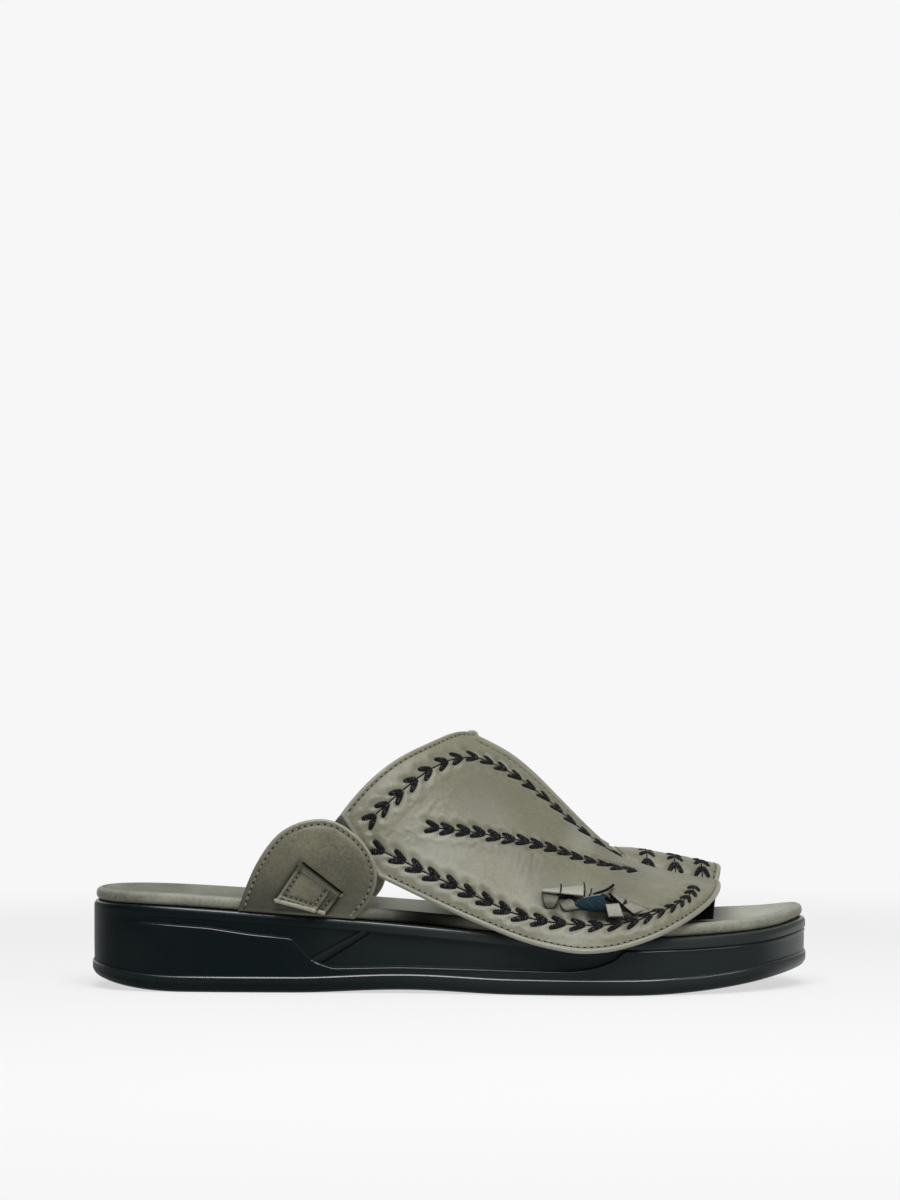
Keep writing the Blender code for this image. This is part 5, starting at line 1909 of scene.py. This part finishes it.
    def strap_grid(self, first: float, last: float, width: float) -> tuple[Array, Array]:
        """Coordinates and lifts of a stretch of the strap.

        Args:
            first: share of the stops where the stretch starts.
            last: share where it ends.
            width: share of the strap's width that it covers from its upper edge.

        Returns:
            Grid of coordinates, rows along the strap, and the lift at each point.
        """
        uppers, lowers, lifts = self.strap_rows()
        places = np.arange(len(lifts))
        length, breadth = 40.0, 22.0
        along = rim_shares(np.array([length * (last - first)]), self.strap_steps[0])[:, 0]
        at = (first + along * (last - first)) * places[-1]
        across = rim_shares(np.array([breadth * width]), self.strap_steps[1])[:, 0] * width
        upper, lower = (
            np.stack([np.interp(at, places, values) for values in rows.T], axis=-1)
            for rows in (uppers, lowers)
        )
        side_view = upper[:, None] + across[None, :, None] * (lower - upper)[:, None]
        x, z = side_view[..., 0], side_view[..., 1]
        grid = np.stack([x, self.foot.girth_at(x, z, self.side)], axis=-1)
        shifts = np.linspace(-0.16, 0.16, 5)
        lift = np.mean([np.interp(at + shift, places, lifts) for shift in shifts], axis=0)
        return grid, np.broadcast_to(lift[:, None], x.shape)

    def build_strap(self, finish: Material, thread: Threads) -> None:
        """Builds the strap through the slit, its upper ply with a rolled end and their stitches."""
        small = Stitching(1.8, 2.0, 1.3, 0.34, 0.3, 0.6)
        stitched = Threads(small, thread.black, thread.edge)
        grid, lift = self.strap_grid(0.0, 1.0, 1.0)
        strap = Wall(self.foot.surface, grid, lift, lift + self.tail_wall, 0.7, 4)
        self.build_layer(strap, "_strap", (0.62, 0.93, 0.0), (0.0, self.ply_share), finish, stitched)
        grid, lift = self.strap_grid(0.62, 1.0, self.ply_share)
        low = lift + self.tail_wall + 0.05
        ply = Wall(self.foot.surface, grid, low, low + self.ply_wall, 0.6, 4)
        self.build_layer(ply, "_strap_ply", (0.0, 0.8, 0.55), (1.0, 0.0), finish, stitched)

    def build_layer(
        self,
        wall: Wall,
        suffix: str,
        stops: Triple,
        covers: Pair,
        finish: Material,
        thread: Threads,
    ) -> None:
        """Builds one layer of the strap: rolled long edges, a puffed raw end and stitches inside both.

        Args:
            wall: the layer's wall.
            suffix: end of its name.
            stops: shares of its length where it leaves the slit and where its end starts to puff, and by how
                much more than a plain edge it puffs.
            covers: 1 where the layer's upper edge is stitched too, and the share of its width under a ply.
            finish: the leather.
            thread: makes the stitches.
        """
        leave, hem, puff = stops
        upper_stitched, hidden = covers
        rows = np.linspace(0, 1, wall.face.shape[0])[:, None]
        across = run_length(wall.face[-1])
        beside = np.minimum(across, across[-1] - across)[None, :]
        at_end = soft_step((rows - hem) / 0.05)
        edge_roll = bell(beside - 0.85, 0.7)
        end_roll = at_end * (1 - 0.45 * soft_step((rows - 0.93) / 0.07))
        lines = self.stitch_lines(wall, leave, hem, upper_stitched > 0, hidden)
        trough = thread.stitching.relief(lines, wall.face)
        relief = 0.75 * edge_roll + (0.45 + puff) * end_roll * (1 + 0.2 * rolling(wall.face, 4.0, 14))
        relief += 1.2 * trough + 0.05 * rolling(wall.face, 8.0, 13)
        wear = np.maximum(0.45 * edge_roll, 0.8 * at_end * (1 + 0.3 * rolling(wall.face, 3.0, 15)))
        tucked = soft_step(1 - (rows - leave) / 0.3) ** 2
        covered = soft_step(1 - (across / across[-1] - hidden) / 0.12)[None, :] * (hidden > 0)
        # Painted shade: a little all over except at the end, more where the layer dips into the slit, lies
        # under the ply or sinks into a stitch trough.
        dent = 0.35 + 0.6 * np.maximum(tucked, covered) - 0.8 * trough / thread.stitching.trough_depth
        shown = 1 - tucked
        made = wall.shape(relief, wear=np.clip(wear * shown, 0, 1), dent=np.clip(dent - 0.35 * at_end, 0, 1))
        self.add_rolled_end(made, wall, hidden)
        place(made.object(self.name + suffix, 50.0), finish, Slot.TAB)
        thread.add_stitches(self.name + suffix, lines, wall.seat())

    def add_rolled_end(self, made: Shape, wall: Wall, hidden: float) -> None:
        """Adds the pale rolled edge at the free end of a layer, where no ply hides it."""
        row = wall.skin[-4, int(hidden * wall.skin.shape[1]) :]
        path = spaced(row, np.linspace(0.8, run_length(row)[-1] - 0.8, 40))
        ups = unit(wall.at(np.asarray(wall.high) + 1.0) - wall.face)[-4, 0]
        wobble = 0.2 * rolling(path, 2.6, 17)[:, None] * ups
        add_cord(made, path + wobble, 0.85, 9, wear=1.0)

    def stitch_lines(self, wall: Wall, leave: float, hem: float, both: bool, hidden: float) -> list[Array]:
        """Stitch lines along the long edges of a layer of the strap and across its end.

        Args:
            wall: the layer's wall.
            leave: share of its length where it leaves the slit.
            hem: share where its end starts to puff.
            both: whether both long edges are stitched.
            hidden: share of its width under a ply.

        Returns:
            The lines' points.
        """
        rows, columns = wall.face.shape[:2]
        inset = int(np.searchsorted(run_length(wall.face[rows // 2]), 1.9))
        start, end = int(rows * (leave + 0.04)) + 2, int(rows * (hem - 0.02))
        first = max(inset, int(columns * hidden) + 2)
        lines = [wall.face[start:end, columns - 1 - inset]]
        if both:
            lines.append(wall.face[start:end, inset])
        across = (hem - 0.02, hem + 0.1)[: 1 + both]
        lines += [wall.face[int(rows * share), first : columns - inset] for share in across]
        return [spaced(line, np.arange(0, run_length(line)[-1], 0.2)) for line in lines]


@dataclass
class ToeRing:
    """The band over the big toe."""

    sole: SoleForm
    stitching: Stitching
    wall: float = 1.8
    squareness: float = 3.2
    outer_leg_y: float = 5.5
    leg_lift: float = 0.6
    steps: tuple[int, int] = (146, 74)
    crown: Pairs = ((66.0, 53.8), (80.0, 52.2), (95.0, 49.5), (111.0, 46.3))
    back_edge: Pairs = ((0.0, 84.0), (0.18, 76.0), (0.36, 67.5), (0.6, 65.5), (1.0, 67.0))
    front_edge: Pairs = ((0.0, 106.0), (0.3, 109.0), (0.6, 109.5), (1.0, 104.0))
    leaf_columns: Sequence[float] = (79.6, 90.8, 101.6)
    leaf_shares: Pair = (0.08, 0.86)
    leaf_count: int = 8

    def surface(self, x: Array, share: Array, lift: Array) -> Array:
        """Point of the band: share 0 is the foot of the outer leg, 1 of the inner leg."""
        x, share, lift = np.broadcast_arrays(np.asarray(x, float), np.asarray(share, float), lift)
        depth = self.wall - lift
        angle = math.pi * (1 - np.clip(share, 0, 1))
        outer_y = self.outer_leg_y + self.sole.plan_shift
        inner_y = self.sole.inner_plan(self.sole.turn_of(x)) - self.sole.clearance
        middle, half = (outer_y + inner_y) / 2, (inner_y - outer_y) / 2
        on_outer = share < 0.5
        foot = np.where(
            on_outer,
            self.sole.insole_top(x, outer_y) + self.leg_lift,
            self.sole.deck(x) + self.sole.clearance,
        )
        power = 2 / self.squareness
        across = np.abs(np.cos(angle)) ** power * np.where(on_outer, -1, 1)
        up = np.abs(np.sin(angle)) ** power
        crown = column(self.crown, 1)(x)
        return np.stack([x, middle + (half - depth) * across, foot + (crown - depth - foot) * up], axis=-1)

    def build(self, finish: Material, thread: Threads) -> None:
        """Builds the band with its stitches and leaf columns."""
        back, front = column(self.back_edge, 1), column(self.front_edge, 1)

        def patch(u: Array, v: Array) -> Array:
            """Pairs of x and share over the band."""
            u, v = np.broadcast_arrays(u, v)
            even = u - 0.55 * np.sin(4 * math.pi * u) / (4 * math.pi)
            return np.stack([back(even) + (front(even) - back(even)) * v, even], axis=-1)

        band = Wall(self.surface, rimmed_grid(self.surface, patch, *self.steps), 0.0, self.wall, 0.85)
        share = np.linspace(0.015, 0.985, 400)
        lines = []
        for edge, inset in ((back, 1), (front, -1)):
            x = edge(share) + inset * self.stitching.inset
            points = self.surface(x, share, self.wall)
            lines.append(spaced(points, np.arange(0.5, run_length(points)[-1] - 0.5, 0.2)))
        size = ChevronLine(6.0, (6.6, 6.6), 26.0, 2.3, 0.42, 7)
        leaves, face = [], Face(self.surface, self.wall)
        for x in self.leaf_columns:
            run = np.linspace(*self.leaf_shares, 200)
            length = run_length(self.surface(x, run, self.wall))
            even = np.interp(np.linspace(0, length[-1], PAIR_STEPS * (self.leaf_count - 1) + 1), length, run)
            leaves.append((size, size.along(face, np.stack([x + 0 * even, even], axis=-1))))
        away = from_arms(band.face, leaves)
        pucker = bell(away, 1.5)
        relief = 0.1 * bell(away - 2.8, 1.4) - 0.4 * pucker + self.stitching.relief(lines, band.face)
        relief += 0.12 * rolling(band.face, 16.0, 17)
        low_leg = soft_step((40 - band.face[..., 2]) / 6) * (band.face[..., 1] < 20)
        # Painted shade in the puckers and on the low outer leg in the shadow of the panel.
        masks = {"wear": soft_step(1 - band.edge / 2.2), "dent": 0.5 * pucker**2, "shade": 0.95 * low_leg}
        made = band.shape(relief * soft_step(band.edge / 0.8), **masks)
        place(made.object("toe_ring_band", 50.0), finish, Slot.UPPER, "toe_ring")
        thread.add_stitches("toe_ring", lines, band.seat())
        thread.add_leaves("toe_ring", leaves, band.seat())


@dataclass
class Knot:
    """The small bound knot of leather strips on the outer half.

    Places are x and z as seen from the side and the height above the panel.
    """

    foot: FootForm
    strip_wall: float = 0.8
    binding: tuple[Stop, Stop] = ((48.4, 35.4, 1.4), (60.4, 36.0, 2.3))
    binding_radii: Pair = (1.0, 3.4)
    windings: int = 15
    flaps: Sequence[tuple[float, float, float, Stop, Stop, Stop, Stop]] = (
        # bow, rounding of the lower edge, shade, then the corners: along the upper edge, back along the lower
        (0.5, 0.0, 0.0, (35.8, 41.4, 2.4), (52.2, 42.6, 3.2), (52.0, 39.1, 4.4), (36.0, 40.4, 3.0)),
        (1.2, 0.8, 0.56, (35.8, 40.2, 1.5), (42.9, 39.3, 1.7), (41.2, 33.9, 1.2), (36.4, 34.0, 1.0)),
        (0.7, 0.4, 0.5, (42.4, 36.0, 1.2), (46.9, 38.2, 1.4), (51.4, 34.0, 1.3), (44.6, 32.6, 1.0)),
        (0.2, 0.0, 0.9, (59.4, 38.7, 1.5), (68.8, 37.2, 1.1), (70.4, 32.2, 0.8), (60.6, 33.4, 1.3)),
        (0.2, 0.0, 0.06, (60.2, 35.8, 2.9), (65.9, 36.2, 3.1), (67.7, 31.0, 2.4), (61.4, 31.0, 2.5)),
        (0.2, 0.0, 0.2, (63.3, 39.8, 2.0), (68.8, 37.5, 1.7), (67.2, 35.4, 1.7), (62.4, 38.4, 2.0)),
        (0.2, 0.0, 0.15, (67.2, 35.2, 1.5), (70.5, 36.8, 1.3), (77.6, 33.8, 0.8), (71.4, 31.8, 0.9)),
    )
    thread_ends_and_shade_fills: Sequence[tuple[float, Sequence[Stop]]] = (
        # radius, then stops along the thread
        (0.28, ((43.4, 43.0, 2.6), (43.2, 41.2, 4.2), (42.5, 38.8, 4.0))),
        (0.28, ((52.4, 43.6, 2.4), (52.6, 41.2, 4.2), (52.2, 38.4, 3.6))),
        (0.28, ((54.0, 38.6, 2.9), (54.8, 39.6, 2.8), (55.4, 41.2, 2.0))),
        (0.55, ((56.0, 39.4, 2.8), (60.6, 40.6, 2.7), (64.0, 42.4, 1.5))),
        (0.5, ((62.2, 39.4, 2.5), (64.6, 37.3, 2.6), (67.0, 35.2, 2.4))),
        (0.4, ((67.0, 35.2, 2.2), (69.2, 33.4, 1.6), (71.4, 31.6, 1.1))),
        # These two thick black threads fill the gaps under the flap and beside the binding as painted shade.
        (0.9, ((41.8, 38.6, 1.4), (46.5, 38.2, 1.5), (50.6, 36.4, 1.5))),
        (0.8, ((59.2, 38.9, 1.9), (61.8, 37.5, 2.0), (63.4, 36.8, 1.8))),
        (0.25, ((71.5, 31.6, 1.2), (75.5, 32.0, 0.9), (80.0, 33.2, 0.4))),
    )

    def lay(self, stops: Array) -> Array:
        """Points of seen places and heights over the panel."""
        return self.foot.seen_at(stops[..., 0], stops[..., 1], OUTER, self.foot.wall + stops[..., 2])

    def line(self, stops: Sequence[Stop], count: int) -> tuple[Array, Array]:
        """Points of a smooth line over the panel and the upward direction at each."""
        run, share = np.array(stops, float), np.linspace(0, 1, count)
        path = curve_through(np.linspace(0, 1, len(run)), run)(share)
        return self.lay(path), unit(self.lay(path + (0, 0, 1.0)) - self.lay(path))

    def flap(self, bow: float, rounding: float, shade: float, corners: Sequence[Stop]) -> Shape:
        """One cut strip with crisp softened edges, bowed up across its width.

        Args:
            bow: how far its middle stands up.
            rounding: how much its lower edge narrows, from 0 to 1.
            shade: how much painted shade lies on it, from 0 to 1; a strip with none is paler all over.
            corners: its corners, along the upper edge and back along the lower.

        Returns:
            The strip's mesh.
        """
        first, second, third, fourth = np.array(corners, float)
        u, v = (((1 - np.cos(math.pi * np.linspace(0, 1, count))) / 2) for count in (25, 17))
        u, v = u[:, None, None], v[None, :, None]
        u = 0.5 + (u - 0.5) * np.sqrt(1 - rounding * v**4)
        places = (1 - u) * ((1 - v) * first + v * fourth) + u * ((1 - v) * second + v * third)
        lift = self.foot.wall + places[..., 2] + bow * np.sin(math.pi * v[..., 0])
        grid = self.foot.face_at(places[..., 0], places[..., 1], OUTER, lift)
        wall = Wall(self.foot.surface, grid, lift - self.strip_wall, lift, 0.3, 2)
        rim = soft_step(1 - wall.edge / 0.6)
        # Shaded strips get painted shade, darkest along their rims; a strip with none is paler all over.
        wear = 0 * rim + (0.9 if shade == 0 else 0.0)
        rim_shade = shade + (0.9 - shade) * rim * (shade > 0)
        return wall.shape(0.08 * rolling(wall.face, 5.0, 21), wear=wear, shade=rim_shade)

    def wound(self) -> Shape:
        """The thread binding: a roll that widens towards the toe, with a ridge for each turn."""
        stations, sides = 120, 24
        path, ups = self.line(self.binding, stations)
        along = unit(np.gradient(path, axis=0))
        across = unit(np.cross(ups, along))
        share = np.linspace(0, 1, stations)[:, None]
        turn = full_turn(sides)[None, :]
        ridge = 0.12 * np.cos(2 * math.pi * (self.windings * share + turn / (2 * math.pi)))
        size = self.binding_radii[0] + np.ptp(self.binding_radii) * share**0.45 + ridge
        size = size * np.sqrt(1 - np.clip(1 - np.minimum(share, 1 - share) / 0.04, 0, 0.9) ** 2)
        made = Shape()
        sideways = (size * np.cos(turn))[..., None] * across[:, None]
        made.tube(path[:, None] + sideways + (0.7 * size * np.sin(turn))[..., None] * ups[:, None])
        return made

    def build(self, leather: Material, blue: Material, black: Material) -> None:
        """Builds strips, binding, loose thread ends and two thick black threads that stand for shade in the
        gaps.
        """
        strips = Shape()
        for bow, rounding, shade, *corners in self.flaps:
            strips.take(self.flap(bow, rounding, shade, corners))
        place(strips.object("knot_leather", 50.0), leather, Slot.STRIP, "knot_strips")
        place(self.wound().object("knot_winding", 60.0), blue, Slot.BINDING, "knot_binding")
        ends = Shape()
        for radius, stops in self.thread_ends_and_shade_fills:
            add_cord(ends, self.line(stops, 16)[0], radius)
        place(ends.object("knot_thread_ends_and_shade_fills", 60.0), black, None)


# Studio


@dataclass
class Studio:
    """Pale floor, soft light from above and the camera."""

    floor_reach: float = 6.0
    floor_tone: float = 0.7
    white: float = 0.93
    lit_reach: Pair = (0.28, 0.6)
    near_glow: float = 0.68
    dome: float = 0.04
    backdrop: float = 0.75
    # turn from the camera to the right and rise in degrees, size in metres, power in watts
    boxes: Sequence[tuple[str, float, float, float, float]] = (
        ("key", 4.0, 57.0, 0.9, 14.0),
        ("top", 0.0, 88.0, 0.8, 5.0),
        ("side", 55.0, 20.0, 0.6, 2.0),
    )
    box_distance: float = 1.2

    def build(self) -> None:
        """Builds the stage, lights and camera."""
        self.floor()
        self.world()
        for box in self.boxes:
            self.light(*box)
        scene = bpy.context.scene
        data = bpy.data.cameras.new("camera")
        data.lens, data.sensor_width, data.sensor_fit = LENS, SENSOR, "AUTO"
        camera = bpy.data.objects.new("camera", data)
        camera.location = Vector(CAMERA_AT) * MM
        camera.rotation_euler = (math.radians(90), 0, 0)
        scene.collection.objects.link(camera)
        scene.camera = camera
        scene.view_settings.view_transform = "Standard"

    def light(self, name: str, turn_deg: float, rise_deg: float, size: float, power: float) -> None:
        """Adds a square soft box that faces the part.

        Args:
            name: the light's name.
            turn_deg: turn from the camera to the right.
            rise_deg: rise over the floor.
            size: its edge in metres.
            power: its power in watts.
        """
        data = bpy.data.lights.new(name, "AREA")
        data.shape, data.size, data.energy = "SQUARE", size, power
        made = bpy.data.objects.new(name, data)
        turn, rise = math.radians(turn_deg), math.radians(rise_deg)
        level = math.cos(rise)
        at = self.box_distance * Vector((math.sin(turn) * level, -math.cos(turn) * level, math.sin(rise)))
        made.location = at
        made.rotation_euler = (-at).to_track_quat("-Z", "Y").to_euler()
        bpy.context.scene.collection.objects.link(made)

    def floor(self) -> None:
        """A wide pale floor that takes shadows near the part and is even white further out."""
        mesh = bpy.data.meshes.new("floor")
        reach = self.floor_reach
        corners = [(-reach, -reach, 0), (reach, -reach, 0), (reach, reach, 0), (-reach, reach, 0)]
        mesh.from_pydata(corners, [], [(0, 1, 2, 3)])
        made = bpy.data.objects.new("floor", mesh)
        bpy.context.scene.collection.objects.link(made)
        dressing = Dressing("pale_floor")
        tree = dressing.tree
        dressing.feed(Base_Color=self.grey(self.floor_tone), Roughness=0.9, Specular_IOR_Level=0.0)
        glow = add_node(tree, "Emission", Color=self.grey(self.white))
        place_at = add_node(tree, "TexCoord").outputs["Object"]
        away = add_node(tree, "VectorMath", ("operation", "LENGTH"), Vector=place_at).outputs["Value"]
        ends = {"From_Min": self.lit_reach[0], "From_Max": self.lit_reach[1], "To_Min": self.near_glow}
        share = add_node(tree, "MapRange", ("interpolation_type", "SMOOTHSTEP"), Value=away, **ends)
        blend(tree, share.outputs["Result"], dressing.shader, glow, "Material Output")
        mesh.materials.append(dressing.made)

    def grey(self, tone: float) -> tuple[float, ...]:
        """A plain grey as a colour with its alpha."""
        return (tone, tone, tone, 1.0)

    def world(self) -> None:
        """A dim dome with a bright backdrop behind the part; the camera sees the floor's even white."""
        world = bpy.data.worlds.new("dome")
        world.use_nodes = True
        bpy.context.scene.world = world
        tree = world.node_tree
        dim = tree.nodes["Background"]
        dim.inputs["Color"].default_value = self.grey(1.0)
        parts = add_node(tree, "SeparateXYZ", Vector=add_node(tree, "TexCoord").outputs["Generated"])
        ends = {"From_Min": 0.2, "From_Max": 0.8, "To_Min": self.dome, "To_Max": self.backdrop}
        behind = add_node(tree, "MapRange", Value=parts.outputs["Y"], **ends)
        feed(tree, dim.inputs["Strength"], behind.outputs["Result"])
        seen = add_node(tree, "Background", Color=self.grey(self.white))
        blend(tree, add_node(tree, "LightPath").outputs["Is Camera Ray"], dim, seen, "World Output")


def main() -> None:
    """Builds the sandal's pieces in order and the studio around them."""
    logging.basicConfig(level=logging.INFO, format="%(name)s %(message)s")
    groups = Finishes()
    panel_leather, tab_leather = PANEL_LEATHER.make(groups), TAB_LEATHER.make(groups)
    black, blue = BLACK_THREAD.make(groups), BLUE_THREAD.make(groups)
    sole = SoleForm()
    foot = FootForm(sole)
    stitching = Stitching()
    thread = Threads(stitching, black, EDGE_THREAD.make(groups))
    Studio().build()
    Outsole(sole).build(BLACK_SOLE.make(groups))
    Insole(sole).build(INSOLE_LEATHER.make(groups))
    InstepPanel(foot, stitching).build(panel_leather, thread)
    for side in (OUTER, INNER):
        SideTab(foot, stitching, side).build(tab_leather, thread)
    ToeRing(sole, stitching).build(panel_leather, thread)
    Knot(foot).build(STRIP_LEATHER.make(groups), blue, black)


if __name__ == "__main__":
    main()
